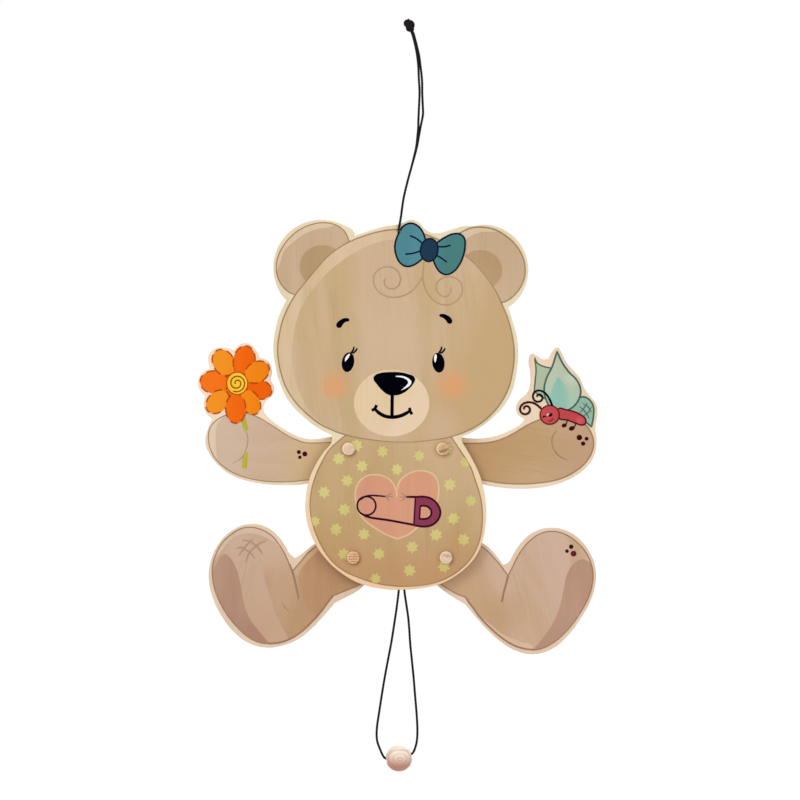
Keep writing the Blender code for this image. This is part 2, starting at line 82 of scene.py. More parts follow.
HEAD_LIGHT = [
    (414, 231, "corner"), (397.7, 229.5), (380.5, 231.4), (365.4, 235.6), (349.9, 241.7),
    (330.6, 254.2), (316.4, 269.4), (305.6, 282.2), (295.4, 295), (288.4, 307), (283.2, 319),
    (279.5, 334), (277.7, 348.5), (278.6, 361), (281.3, 374), (285.5, 386), (291.4, 396.4),
    (299.5, 406.6), (308.7, 415.3), (319.5, 423.6), (331.5, 429.7, "corner"), (317.3, 419.9),
    (307.7, 408.4), (301.4, 396.5), (296.2, 384), (293, 368), (291.9, 353), (293.4, 337),
    (296.7, 320.5), (302.4, 305.1), (312.2, 290.3), (323.3, 277), (337.4, 264.4),
    (351.4, 254.5), (365.4, 246.8), (379.4, 241.9), (392, 239.7), (402, 239, "corner"),
]
BODY = [
    (342.9, 437.4, "corner"), (330.2, 448.8), (320.8, 464.2), (314.1, 480.3), (310.6, 496.3),
    (310.4, 511.1), (313.2, 525.8), (319.0, 540.8), (327.6, 555.6), (337.2, 566.0), (346.6, 572.2),
    (357, 576.9), (372.4, 582.2), (391.8, 585.7), (410.5, 586.1), (429, 584), (439.8, 581),
    (450.6, 576), (461, 568.6), (470, 559.4), (477, 547), (480.7, 535), (482.2, 523),
    (482.2, 511), (481, 500), (478.6, 490.4), (475.6, 481.3), (471.4, 469), (467, 460.8),
    (461.5, 452.4), (451.2, 437, "corner"), (432, 425, "corner"), (360, 425, "corner"),
]
LEFT_ARM = [
    (236, 412.6), (224.4, 415.6), (214.9, 421.2), (209.6, 428), (208, 435.2), (208.4, 443),
    (211, 451.8), (216.8, 461), (224.8, 468), (234.3, 473.6), (253.2, 479.6), (280.2, 482.1),
    (307.5, 480), (335, 476, "corner"), (346, 441.4, "corner"), (330, 442.4), (314.4, 443.1),
    (304.8, 442.6), (295.3, 439.5), (285.2, 434.5), (275.6, 428.2), (265.3, 421.6), (255, 416),
    (247.4, 413.4),
]
LEFT_HAND_LIGHT = [
    (224.4, 415.6, "corner"), (214.9, 421.2), (209.6, 428), (208, 435.2), (208.4, 443),
    (211, 451.8), (216.8, 461, "corner"), (215.8, 450), (215.2, 438), (216.4, 426),
]
RIGHT_ARM = [
    (566, 415), (578, 419), (586.4, 425.4), (590.6, 431), (593.3, 437.5), (594.1, 444.4),
    (592.4, 452.1), (588.5, 459.4), (582.5, 466.3), (575, 471.9), (566.5, 476.6),
    (554.7, 480.6), (536.2, 483.4), (519.4, 484.1), (501, 483.1), (484.2, 480.2),
    (460, 476, "corner"), (452, 443, "corner"), (479, 443.3), (492.4, 442), (504.4, 438.2),
    (515.4, 432.6), (526.5, 425.8), (538.5, 420.2), (552, 415.6),
]
LEFT_LEG = [
    (249, 527.6), (260, 529.6), (270, 535), (278.8, 545.2), (285.7, 556.8),
    (291.7, 572.2, "corner"), (299.6, 562.9), (307.9, 553.2), (317.4, 545.2, "corner"),
    (344, 558, "corner"), (366, 580, "corner"), (358, 586), (351, 588.8), (342.9, 592.1),
    (332.7, 596.2, "corner"), (327.2, 603.4), (320.4, 612.5), (310.2, 623.9), (300, 633.1),
    (288.8, 639.9), (277.6, 643.4), (267.3, 644.2), (257.1, 642.4), (245.9, 636.2),
    (235.7, 626.4), (226.5, 614.9), (219.2, 602.2), (214.1, 588.9), (212, 576.3),
    (212.2, 565.5), (215.2, 555.4), (220.8, 544.5), (229.7, 535.6), (238.8, 529.8),
]
LEFT_SOLE = [
    (213, 570, "corner"), (217.2, 562), (220.6, 556.6), (223.6, 554.6), (230, 558.6),
    (235.7, 568.4), (239.3, 581.4), (241.8, 594.7), (244.6, 608), (250, 620.4), (259.2, 632.4),
    (268.3, 643.6, "corner"), (257.1, 642.4), (245.9, 636.2), (235.7, 626.4), (226.5, 614.9),
    (219.2, 602.2), (214.1, 588.9), (212, 576.3),
]
LEFT_FOOT_LIGHT = [
    (213.4, 561, "corner"), (215.2, 555.4), (220.8, 544.5), (229.7, 535.6), (238.8, 529.8),
    (249, 527.6), (260, 529.6), (270, 535), (278.8, 545.2), (284.2, 554.2, "corner"),
    (275.2, 544.2), (266.2, 538.2), (257.1, 534.8), (245.9, 533.8), (235.7, 536.8),
    (227.4, 543.2), (220, 553),
]
LEFT_FOOT_WOOD = [
    (258.6, 546, "corner"), (261.6, 562), (264.4, 579.4), (269.3, 595.6), (275.7, 614.9),
    (282.2, 627.8), (288.8, 639.9, "corner"), (300, 633.1), (310.2, 623.9),
    (315.4, 617.2, "corner"), (306.6, 606.4), (300.4, 590), (298.2, 577, "corner"),
    (291.7, 572.2, "corner"), (285.7, 556.8), (280, 547, "corner"), (268, 541, "corner"),
]
LEFT_THIGH_DARK = [
    (320.6, 549.4, "corner"), (310.8, 557.8), (302.6, 567.2), (298.2, 577), (300.4, 590),
    (306.6, 606.4), (315.4, 617.2, "corner"), (320.4, 612.5), (327.2, 603.4),
    (332.7, 596.2, "corner"), (342.9, 592.1), (351, 588.8), (358, 586), (366, 580, "corner"),
    (344, 558, "corner"),
]
RIGHT_LEG = [
    (458, 594.8), (450, 590.4), (441.5, 585), (436, 580.6, "corner"), (452, 562, "corner"),
    (478, 543.8, "corner"), (488.4, 552), (495.8, 560), (502.2, 567.9),
    (508.4, 576, "corner"), (512.3, 568.4), (516.7, 559.3), (523, 549.2), (531.3, 540.2),
    (540.1, 534.2), (548.5, 531.9), (557.9, 532.2), (568.8, 536.3), (578.8, 543.9),
    (586.4, 553), (591.2, 563.1), (593.5, 575), (592.3, 586.5), (588.5, 598.9), (582, 611.2),
    (573.6, 623.8), (564.7, 634), (554.9, 642.4), (545.2, 647.9), (535.4, 650.4),
    (524.7, 649.3), (513.6, 645.6), (502.7, 638.9), (491.3, 629.2), (480.2, 617.8),
    (472.5, 607.3), (468.6, 602.2), (466, 597.8, "corner"),
]
RIGHT_SOLE = [
    (583.1, 559.7), (576.2, 562.4), (570.4, 568.7), (566.6, 577.4), (564, 590.2),
    (560.6, 605.4), (554.9, 620.6), (547.3, 633), (540.6, 641.8), (533.6, 650.3, "corner"),
    (545.2, 647.9), (554.9, 642.4), (564.7, 634), (573.6, 623.8), (582, 611.2), (588.5, 598.9),
    (592.3, 586.5), (593.5, 575), (591.2, 563.6, "corner"),
]
RIGHT_FOOT_LIGHT = [
    (480.2, 617.8, "corner"), (491.3, 629.2), (502.7, 638.9), (513.6, 645.6), (524.7, 649.3),
    (533.6, 650.3, "corner"), (532.6, 646.2), (520.2, 642.2), (509.4, 637.8), (500.7, 633.4),
    (490.6, 624.8),
]
# Each ear: its outline, with its ends under the head, and the lighter sickle along its edge
LEFT_EAR = [
    (354, 250, "corner"), (349.7, 242.2), (345.2, 232.2), (340.9, 227.9), (335.7, 225),
    (324.3, 222.7), (312.8, 224.2), (301.3, 228.8), (291, 236.5), (282.4, 247.4),
    (277.2, 259.8), (276.5, 271.3), (280.1, 282.5), (287.5, 291.1), (295.3, 295.1),
    (303, 300, "corner"), (322, 272, "corner"),
]
LEFT_EAR_LIGHT = [
    (276.5, 271.3, "corner"), (277.2, 259.8), (282.4, 247.4), (291, 236.5), (301.3, 228.8),
    (312.8, 224.2), (324.3, 222.7), (335.7, 225, "corner"), (328, 227.4), (318.5, 228.8),
    (307, 232.8), (295, 240.8), (284.6, 250.6), (279.8, 263.8),
]
RIGHT_EAR = [
    (455, 235.6, "corner"), (460.9, 232.4), (471.4, 227.9), (483.2, 227.3), (494.9, 229.7),
    (505.5, 235.6), (514.9, 244.1), (522.2, 255.6), (525.1, 267.9), (523.4, 280.8),
    (517.2, 291.9), (507.8, 300.2), (500.8, 302.5), (490, 300, "corner"), (455, 262, "corner"),
]
RIGHT_EAR_LIGHT = [
    (460.9, 232.4, "corner"), (471.4, 227.9), (483.2, 227.3), (499, 231.6, "corner"),
    (491.4, 231.9), (480.8, 232.4), (470.3, 236.2), (464.5, 241, "corner"),
]
# Hollow of each ear: centre and half sizes
LEFT_EAR_HOLLOW = (322.5, 266.5, 22.8, 21.3)
RIGHT_EAR_HOLLOW = (480.5, 270, 21.6, 19.9)
HEART = [
    (396.3, 491.2, "corner"), (393.1, 483.6), (386.4, 477.6), (377, 474.9), (366.3, 476.2),
    (359, 482.3), (355.6, 491), (355.6, 500.4), (358.3, 511.1), (364.3, 520), (375.7, 528.6),
    (386.4, 534.8), (397.4, 539, "corner"), (405.2, 536.2), (413.2, 531.2), (421.9, 523.1),
    (430.6, 513.7), (436.6, 503), (438.7, 492.3), (438, 482.9), (434.6, 475.8), (426.6, 471.6),
    (417.2, 471), (407.9, 474.2), (400.5, 480.3),
]
MUZZLE = (391.6, 403, 37.6, 33.4)         # centre and half sizes
NOSE = [
    (373.4, 378.1), (375.1, 375.2), (380.8, 372.9), (389, 372.1), (400.4, 372.3),
    (408.4, 374.1), (413.6, 376.3), (415.1, 379.4), (413.4, 383.6), (408.4, 389.4),
    (402.7, 393.4), (395.8, 395.4), (388.9, 395), (383.1, 391.3), (377.4, 385),
]
NOSE_GLINT = [
    (395.8, 375.8, "corner"), (402.8, 376.1), (408.3, 378.4), (411.3, 381.7), (410.1, 385.1),
    (405.8, 388.2), (400.6, 390.4, "corner"), (404, 387.8), (406.8, 385), (408.2, 382.2),
    (406.8, 379.9), (402.8, 377.8), (395.8, 376.7, "corner"),
]
LEFT_BROW = [
    (349.2, 319.2), (345.8, 318), (341.2, 319.5), (337.2, 322.8), (336.3, 325.8),
    (338.4, 327.9), (341.3, 327), (343, 324.3), (345.8, 321.9), (349, 321),
]
RIGHT_BROW = [
    (439.3, 315), (442.3, 313.9), (446.5, 314.9), (450.7, 317.8), (452.3, 321), (451, 323.5),
    (448.2, 323.4), (446.3, 321), (443.8, 318.4), (440, 316.5),
]
LEFT_GLINT = [
    (344.9, 361.7, "corner"), (345.2, 358.5), (347, 355.5), (349.8, 354), (349.2, 356.2),
    (347.2, 359.4),
]
RIGHT_GLINT = [
    (435.6, 354.2), (436.6, 355.4), (436.3, 359.4), (435.3, 362.8, "corner"), (434.3, 360.6),
    (434.2, 357),
]
BOW_LEFT = [
    (425.9, 240.8, "corner"), (422.5, 231.7), (417.9, 226.1), (411, 223.3), (404.1, 225.7),
    (399.5, 232), (396.1, 239.7), (394.9, 247.7), (396.6, 256.4), (400.7, 263.4), (407, 266.4),
    (414.4, 264.6), (422.6, 258.6, "corner"),
]
BOW_RIGHT = [
    (436.6, 243, "corner"), (445.4, 237.2), (453.5, 233.9), (460.4, 234.4), (464.4, 238.5),
    (465, 246), (463.2, 255.8), (459.2, 264.8), (453.5, 271.6), (446, 274.5), (439.7, 271.7),
    (435.7, 265.9), (432.8, 258.6, "corner"),
]
BOW_KNOT = (429.2, 250.0, 8.7, 11.5)
# A painted shadow round the hanging hole: centre and half sizes
HOLE_SHADOW = (398.9, 230.9, 2.3, 2.0)
CLASP = [
    (415.4, 497, "corner"), (424.4, 496.7), (432.2, 499.2), (438, 505.2), (440.4, 512.2),
    (438.2, 519.4), (432.2, 524.8), (424, 526.6), (413.8, 525.2, "corner"),
]
CLASP_HOLE = [
    (420.3, 506, "corner"), (425.4, 505.9), (430, 508.6), (431.4, 512.8), (428.8, 517.4),
    (424.4, 519), (419.5, 518.6, "corner"),
]
BIG_WING = [
    (557.4, 351.2, "corner"), (552.4, 367), (547, 378), (544.6, 388.6), (545.8, 397.6),
    (551, 407.5), (558, 412.6), (569.6, 409.4), (576, 404.4), (579.6, 398.4), (581, 389.6),
    (577.4, 380.4), (569.2, 371.9), (562.4, 362.2),
]
WING_GLOW = [
    (558, 377, "corner"), (554.4, 384), (551.4, 393), (552, 402), (558.5, 409), (566, 408),
    (570.4, 402), (571.6, 395), (567.4, 387.4), (562.4, 381),
]
BACK_WING = [
    (535, 357.4, "corner"), (537.2, 362.5), (543, 366), (552.2, 368.2, "corner"), (547, 378),
    (544.6, 388.6), (547.4, 399.6, "corner"), (541.6, 396.6), (534.6, 391.4, "corner"),
    (535.6, 380), (536.4, 370),
]
SIDE_WING = [
    (579.8, 397.4, "corner"), (584.8, 396.9), (590, 400), (593.6, 405.8), (594.1, 414.4),
    (592, 427, "corner"), (585.4, 421.2), (578.5, 415.4), (569.4, 409.8, "corner"),
]
BUTTERFLY_BODY = [
    (558.6, 408.9), (566, 409.6), (574, 411.6), (581.6, 415), (586, 419.2), (585.6, 423.8),
    (582, 425), (576, 423.2), (568, 420.2), (558.6, 417.6),
]

# Petals: centre, half width across, half length along, and the turn of the long way.
# A petal is drawn over those before it.
PETALS = [
    ("deep", 213.8, 382.2, 11.4, 14.2, -84), ("deep", 258.2, 389.4, 9.8, 13.4, 101),
    ("light", 223.2, 362.4, 10.6, 13.8, -30), ("deep", 243.8, 360.2, 10.8, 14.6, 11),
    ("light", 256.6, 372.0, 10.2, 13.2, 58), ("light", 217.2, 401.8, 9.8, 13.4, -136),
    ("light", 249.6, 402.0, 9.4, 13.4, 149), ("deep", 235.4, 408.4, 10.0, 14.8, 180),
]
FLOWER_DISC = (236.8, 383.3, 10.75, 11.5)    # centre and half sizes

# Stars: centre, size and turn
STARS = [
    (356.4, 445.4, 6.8, 5), (382.4, 451.5, 6.2, 20), (419, 455.8, 6.2, 8),
    (465.4, 462, 6.4, 12), (339, 458.6, 6.8, 0), (362, 466.2, 6.6, 24), (397, 469.4, 6.4, 10),
    (347.2, 480.6, 6.4, 16), (450, 484.6, 6.8, 5), (324, 492.2, 6.6, 22), (471, 500.8, 6.2, 0),
    (344.4, 509.6, 6.8, 12), (453.6, 518.6, 6.8, 26), (315, 521.5, 5.8, 8),
    (336, 529.4, 6.8, 18), (364, 534.2, 6.6, 2), (436, 534.8, 6.8, 14), (463.4, 539.6, 6.8, 20),
    (343.6, 554, 6.4, 6), (379, 554, 6.6, 16), (412.2, 547, 6.8, 24), (444, 566.6, 6.6, 10),
    (409.6, 570.4, 6.8, 0), (375.6, 578.7, 6.0, 14),
]
PALE_STAR = (446.6, 449, 7.2, 30)

# Printed lines, in pixels. A third value is the width of the line there, 1 if it isn't given.
CURL_LEFT = [
    (385.2, 278.4), (384.2, 282.6), (386.4, 286.8), (391.5, 288.8), (397, 287), (400.1, 282),
    (399.8, 275.4), (396.4, 269.8), (389.6, 266.8), (382, 267.8), (376.2, 272),
    (373.5, 279.6), (375.8, 288), (382.1, 294.1), (391, 297.2), (400.6, 296.4),
    (409.6, 292.5), (417.2, 285.2), (422.4, 277),
]
CURL_RIGHT = [
    (450.9, 287.3), (450.2, 292.8), (445.4, 296.6), (439.7, 294.4), (436.3, 288),
    (438.3, 281.2), (445.2, 277.2), (453.5, 277.4), (459.6, 281.2), (462.3, 288.2),
    (460.6, 296), (453.8, 302.8), (444.3, 304.8), (435.1, 301.4), (428.2, 294),
    (424.2, 285.6), (422.8, 277.6), (423.2, 270.6), (424, 262),
]
SMILE = [
    (374.4, 408.6, 0.75), (379.7, 413.4), (385.4, 416.2), (391.8, 417.1), (399.2, 416.2),
    (405, 413.9), (410, 410.8, 0.75),
]
SMILE_TICKS = [
    [(376.6, 405), (374.8, 408.6), (371.8, 410.6)], [(409.6, 407.7), (410.2, 411), (412, 414.4)],
]
LASHES = [
    [(351, 353), (353.3, 349.8), (354, 346.6, 0.8)],
    [(352.6, 353.4), (355.6, 350.9), (357.3, 348.2, 0.8)],
    [(438.8, 353), (441, 349.8), (441.7, 346.6, 0.8)],
    [(440.6, 353.4), (443.6, 350.9), (445.1, 348.2, 0.8)],
]
BOW_CREASES = [
    [(409.9, 235.7), (414.4, 237.5), (419, 240.5), (422.5, 243.6)],
    [(405.4, 254.2), (412.1, 253.5), (420.6, 251)],
    [(438.5, 246.7), (444.3, 246.8), (450.6, 245.2)],
    [(436.3, 255.2), (442, 258.6), (446.8, 262.1)],
]
PIN_WIRES = [
    [(360.4, 499.6, 0.8), (365, 496.6, 0.8), (371, 495.5, 0.8), (378, 495.8, 0.8),
     (385.3, 496.4, 0.7)],
    [(363.6, 514.6), (366.6, 516.4), (390, 520.4), (414.4, 525)],
    [(406.2, 496.8, 0.8), (411, 496.9), (416, 497)],
]
PIN_RING = (366.5, 505.8, 9.3)
PIN_STRANDS = [
    [(385, 496.4), (389, 494.6), (392.2, 493.2, 0.6)], [(385, 496.4), (392.8, 496.6, 0.6)],
    [(385, 496.4), (387.4, 498.4), (389.6, 501, 0.6)],
    [(406.4, 496.8), (403.4, 494.4), (400.6, 493, 0.6)], [(406.4, 496.8), (399.8, 497.2, 0.6)],
    [(406.4, 496.8), (403.4, 499.4), (400.4, 500.8, 0.6)],
]
HEART_STEM = [(396.3, 490), (396.7, 494), (396.9, 497.6, 0.5)]
ANTENNA_BLACK = [
    (552.6, 405.8, 1.2), (550, 399.4, 1.1), (546.4, 394), (542, 391), (537.6, 390.7),
    (534, 393.4), (533.4, 397.6), (536, 401.2), (540.2, 401.4), (542.8, 398.4), (541.6, 395.2),
    (538.6, 394.6), (537, 396.8, 0.9),
]
ANTENNA_BROWN = [
    (541.6, 408.8, 1.1), (537.4, 405), (532.4, 402.6), (526.8, 402.5), (522.4, 404.8),
    (520.4, 409), (522, 413), (526, 414.2), (529.6, 412), (530, 408.4), (527.6, 406.2),
    (524.6, 407.2), (524.4, 409.6, 0.8),
]
BUTTERFLY_LEGS = [
    [(566.9, 419.1), (567.4, 422), (565.6, 425)], [(575, 422), (575.8, 425), (573.4, 428)],
]
BUTTERFLY_WINK = [[(542.8, 417.8, 0.7), (544.6, 416.6), (546.6, 416.2, 0.7)],
                  [(543.4, 415.8, 0.6), (544.6, 416.6, 0.6)]]
BUTTERFLY_SMILE = [(548.8, 421.3, 0.6), (551.2, 420.8), (552.8, 419.2), (552.9, 418.2, 0.6)]
BUTTERFLY_FEET = [(564.6, 425.5, 2.6, 1.9), (572.3, 428.4, 3.0, 2.1)]
LATTICE = [
    [(579.8, 406.4, 0.6), (583.7, 409.8), (587.5, 414.6), (589.6, 418.6, 0.6)],
    [(583.5, 403.4, 0.6), (588.6, 407), (591.8, 412.4, 0.6)],
    [(588, 402.8, 0.6), (584.4, 408.1), (580.6, 412.6, 0.6)],
    [(591.9, 407, 0.6), (588.3, 412.7), (583.5, 416.3, 0.6)],
]
LEFT_THUMB = [(246, 431.6), (247.5, 440), (246, 448.6), (241.6, 457.6), (232, 463.4, 0.4)]
RIGHT_THUMB = [
    (557.4, 430.2, 0.4), (553.4, 436), (552.3, 442.4), (555, 451), (560, 456.4),
    (567.4, 460.2, 0.4),
]
FOOT_LINE_LEFT = [
    (289.4, 564.4, 0.6), (292, 572), (294.3, 580), (296.4, 589), (298.2, 599.8, 0.8),
]
FOOT_LINE_RIGHT = [(508.4, 576), (506.2, 585), (504, 593), (502.2, 602.4)]
HATCHING = [
    [(242.3, 540.4, 0.5), (249, 541.6), (255.1, 545.6), (260.2, 551), (262.6, 555.4, 0.5)],
    [(236.2, 548.8, 0.5), (240.8, 547.8), (245.9, 550.3), (251, 554.4), (254.6, 558.7, 0.5)],
    [(252.6, 539.4, 0.5), (246.9, 544.7), (242.9, 549.8), (238.2, 556, 0.5)],
    [(265.5, 541.3, 0.5), (260.2, 543.2), (254.1, 547.8), (249, 553), (244.8, 562.8, 0.5)],
]
FOOT_CREASE = [(282, 603.6, 0.4), (284.7, 608), (289, 612.2, 0.4)]
STEM_UPPER = [(243.2, 419, 1.0), (244.4, 425), (246, 430.6, 0.8)]
STEM_LOWER = [(245.4, 452.4, 0.8), (244.6, 460), (244, 468.4)]

# Dots: centre and radius
LEFT_ARM_DOTS = [(298.6, 452.2, 2.0), (304.6, 454.1, 2.5), (299.6, 457.4, 1.7)]
RIGHT_ARM_DOTS = [(579.8, 437.6, 2.8), (587, 438.8, 1.9), (583.6, 443.7, 2.2)]
RIGHT_LEG_DOTS = [(571.6, 547.1, 2.2), (567.4, 551.5, 1.8), (574, 554, 2.9)]


def spot(x, y):
    """The place on the boards, X and Z, that a pixel of the photograph shows."""
    return (x - NAIL_PIXEL[0]) * PIXEL, (NAIL_PIXEL[1] - y) * PIXEL


def colour(red, green, blue):
    """A colour as the screen shows it, 0 to 255, in the linear values that shaders take."""
    linear = []
    for value in (red, green, blue):
        share = value / 255
        linear.append(share / 12.92 if share <= 0.04045 else ((share + 0.055) / 1.055) ** 2.4)
    return (*linear, 1.0)


# Shaders

def add_node(tree, kind, **values):
    """A node, with its settings by name."""
    made = tree.nodes.new("ShaderNode" + kind)
    for name, value in values.items():
        setattr(made, name, value)
    return made


def wire(tree, source, target):
    tree.links.new(source, target)


def math_node(tree, operation, first, second):
    """One sum on two values, each a socket or a number."""
    made = add_node(tree, "Math", operation=operation)
    for slot, value in zip(made.inputs, (first, second)):
        if isinstance(value, (int, float)):
            slot.default_value = value
        else:
            wire(tree, value, slot)
    return made.outputs[0]


def mix_colour(tree, share, first, second, blend="MIX"):
    """A mix of two colours, each a socket or a colour."""
    made = add_node(tree, "Mix", data_type="RGBA", blend_type=blend)
    for slot, value in ((made.inputs[0], share), (made.inputs[6], first), (made.inputs[7], second)):
        if isinstance(value, (int, float, tuple)):
            slot.default_value = value
        else:
            wire(tree, value, slot)
    return made.outputs[2]


def noise(tree, vector, scale, detail, rough=0.5, distortion=0.0):
    made = add_node(tree, "TexNoise")
    made.inputs["Scale"].default_value = scale
    made.inputs["Detail"].default_value = detail
    made.inputs["Roughness"].default_value = rough
    made.inputs["Distortion"].default_value = distortion
    wire(tree, vector, made.inputs["Vector"])
    return made.outputs["Fac"]


def ranged(tree, value, low, high, new_low=0.0, new_high=1.0, smooth=True):
    """A value stretched from one range to another, and kept inside it."""
    made = add_node(tree, "MapRange")
    if smooth:
        made.interpolation_type = "SMOOTHSTEP"
    for slot, number in zip(made.inputs[1:5], (low, high, new_low, new_high)):
        slot.default_value = number
    wire(tree, value, made.inputs[0])
    return made.outputs[0]


def stretched(tree, vector, scale, turn=None):
    """The coordinates scaled along each axis, and turned by a socket or not at all."""
    made = add_node(tree, "Mapping")
    made.inputs["Scale"].default_value = scale
    wire(tree, vector, made.inputs["Vector"])
    if turn is not None:
        wire(tree, turn, made.inputs["Rotation"])
    return made.outputs[0]


def make_birch():
    """The birch veneer under every finish: broad tones, soft bands, fine grain and dark pores.

    Light and Dark are the two tones, Grain is how much of the bands and grain shows, and Turn
    is the way of the grain in the board's plane.
    """
    group = bpy.data.node_groups.new("birch_veneer", "ShaderNodeTree")
    face = group.interface
    for name in ("Light", "Dark"):
        face.new_socket(name, in_out="INPUT", socket_type="NodeSocketColor")
    for name in ("Grain", "Turn"):
        face.new_socket(name, in_out="INPUT", socket_type="NodeSocketFloat")
    face.new_socket("Colour", in_out="OUTPUT", socket_type="NodeSocketColor")
    face.new_socket("Roughness", in_out="OUTPUT", socket_type="NodeSocketFloat")
    face.new_socket("Height", in_out="OUTPUT", socket_type="NodeSocketFloat")
    given = group.nodes.new("NodeGroupInput")
    result = group.nodes.new("NodeGroupOutput")

    place = add_node(group, "TexCoord").outputs["Object"]
    turn = add_node(group, "CombineXYZ")
    wire(group, given.outputs["Turn"], turn.inputs["Y"])
    turned = stretched(group, place, (1, 1, 1), turn.outputs[0])

    broad = noise(group, stretched(group, turned, (34, 34, 9)), 1.0, 2.0, 0.45, 0.8)
    tone = ranged(group, broad, 0.36, 0.64)
    base = mix_colour(group, tone, given.outputs["Light"], given.outputs["Dark"])

    grain = noise(group, stretched(group, turned, (1500, 1500, 70)), 1.0, 3.0, 0.6, 0.3)
    shade = ranged(group, grain, 0.3, 0.75, 1.0, 0.95)
    pores = noise(group, stretched(group, turned, (3200, 3200, 260)), 1.0, 1.0)
    fleck = ranged(group, pores, 0.68, 0.76, 1.0, 0.9)
    worn = math_node(group, "MULTIPLY", shade, fleck)
    bands = noise(group, stretched(group, turned, (150, 150, 6)), 1.0, 2.0, 0.5, 0.4)
    banded = math_node(group, "MULTIPLY", worn, ranged(group, bands, 0.38, 0.66, 1.0, 0.97))
    streaks = noise(group, stretched(group, turned, (900, 900, 22)), 1.0, 1.0)
    banded = math_node(group, "MULTIPLY", banded, ranged(group, streaks, 0.6, 0.72, 1.0, 0.92))
    less = math_node(group, "SUBTRACT", 1.0, banded)
    kept = math_node(group, "MULTIPLY", less, given.outputs["Grain"])
    veil = mix_colour(group, kept, (1.0, 1.0, 1.0, 1.0), (0.0, 0.0, 0.0, 1.0))
    wire(group, mix_colour(group, 1.0, base, veil, "MULTIPLY"), result.inputs["Colour"])
    wire(group, ranged(group, grain, 0.3, 0.75, 0.5, 0.62), result.inputs["Roughness"])
    wire(group, worn, result.inputs["Height"])
    return group


def make_fade():
    """How far a place lies on the way from one point to another: 0 at Start, 1 at End."""
    group = bpy.data.node_groups.new("fade", "ShaderNodeTree")
    for name in ("Start", "Way"):
        group.interface.new_socket(name, in_out="INPUT", socket_type="NodeSocketVector")
    group.interface.new_socket("Share", in_out="OUTPUT", socket_type="NodeSocketFloat")
    given = group.nodes.new("NodeGroupInput")
    result = group.nodes.new("NodeGroupOutput")
    place = add_node(group, "TexCoord").outputs["Object"]
    away = add_node(group, "VectorMath", operation="SUBTRACT")
    wire(group, place, away.inputs[0])
    wire(group, given.outputs["Start"], away.inputs[1])
    along = add_node(group, "VectorMath", operation="DOT_PRODUCT")
    wire(group, away.outputs[0], along.inputs[0])
    wire(group, given.outputs["Way"], along.inputs[1])
    wire(group, ranged(group, along.outputs["Value"], 0.0, 1.0), result.inputs["Share"])
    return group


def make_round_spot():
    """A soft round spot: 1 at Centre, 0 from Radius outwards. Depth along Y doesn't count."""
    group = bpy.data.node_groups.new("round_spot", "ShaderNodeTree")
    group.interface.new_socket("Centre", in_out="INPUT", socket_type="NodeSocketVector")
    group.interface.new_socket("Radius", in_out="INPUT", socket_type="NodeSocketFloat")
    group.interface.new_socket("Share", in_out="OUTPUT", socket_type="NodeSocketFloat")
    given = group.nodes.new("NodeGroupInput")
    result = group.nodes.new("NodeGroupOutput")
    place = stretched(group, add_node(group, "TexCoord").outputs["Object"], (1, 0, 1))
    away = add_node(group, "VectorMath", operation="DISTANCE")
    wire(group, place, away.inputs[0])
    wire(group, given.outputs["Centre"], away.inputs[1])
    share = math_node(group, "DIVIDE", away.outputs["Value"], given.outputs["Radius"])
    wire(group, ranged(group, share, 0.1, 1.0, 1.0, 0.0), result.inputs["Share"])
    return group


BIRCH = make_birch()
FADE = make_fade()
ROUND_SPOT = make_round_spot()


def grouped(tree, group):
    made = tree.nodes.new("ShaderNodeGroup")
    made.node_tree = group
    return made


def new_material(name, gloss=0.3):
    """A material with a Principled surface, and its tree and surface to build on."""
    made = bpy.data.materials.new(name)
    made.use_nodes = True
    surface = made.node_tree.nodes["Principled BSDF"]
    surface.inputs["Specular IOR Level"].default_value = gloss
    return made, made.node_tree, surface


def set_bump(tree, surface, height, strength, distance):
    bump = add_node(tree, "Bump")
    bump.inputs["Strength"].default_value = strength
    bump.inputs["Distance"].default_value = distance
    wire(tree, height, bump.inputs["Height"])
    wire(tree, bump.outputs[0], surface.inputs["Normal"])


def printed(name, light, dark, grain=1.0, turn=0.0, fades=(), spots=(), gloss=0.18):
    """Ink on birch: two tones of one colour, with fades and soft spots of other colours.

    A fade is (colour, start pixel, end pixel, share), a spot (colour, pixel, radius, share).
    """
    made, tree, surface = new_material(name, gloss)
    veneer = grouped(tree, BIRCH)
    veneer.inputs["Light"].default_value = colour(*light)
    veneer.inputs["Dark"].default_value = colour(*dark)
    veneer.inputs["Grain"].default_value = grain
    veneer.inputs["Turn"].default_value = turn
    tone = veneer.outputs["Colour"]
    for tint, start, end, share in fades:
        first = Vector((spot(*start)[0], 0, spot(*start)[1]))
        way = Vector((spot(*end)[0], 0, spot(*end)[1])) - first
        fade = grouped(tree, FADE)
        fade.inputs["Start"].default_value = first
        fade.inputs["Way"].default_value = way / way.length_squared
        amount = math_node(tree, "MULTIPLY", fade.outputs["Share"], share)
        tone = mix_colour(tree, amount, tone, colour(*tint))
    for tint, centre, radius, share in spots:
        blot = grouped(tree, ROUND_SPOT)
        blot.inputs["Centre"].default_value = (spot(*centre)[0], 0, spot(*centre)[1])
        blot.inputs["Radius"].default_value = radius * PIXEL
        amount = math_node(tree, "MULTIPLY", blot.outputs["Share"], share)
        tone = mix_colour(tree, amount, tone, colour(*tint))
    wire(tree, tone, surface.inputs["Base Color"])
    wire(tree, veneer.outputs["Roughness"], surface.inputs["Roughness"])
    set_bump(tree, surface, veneer.outputs["Height"], 0.15, 0.05 * MM)
    return made


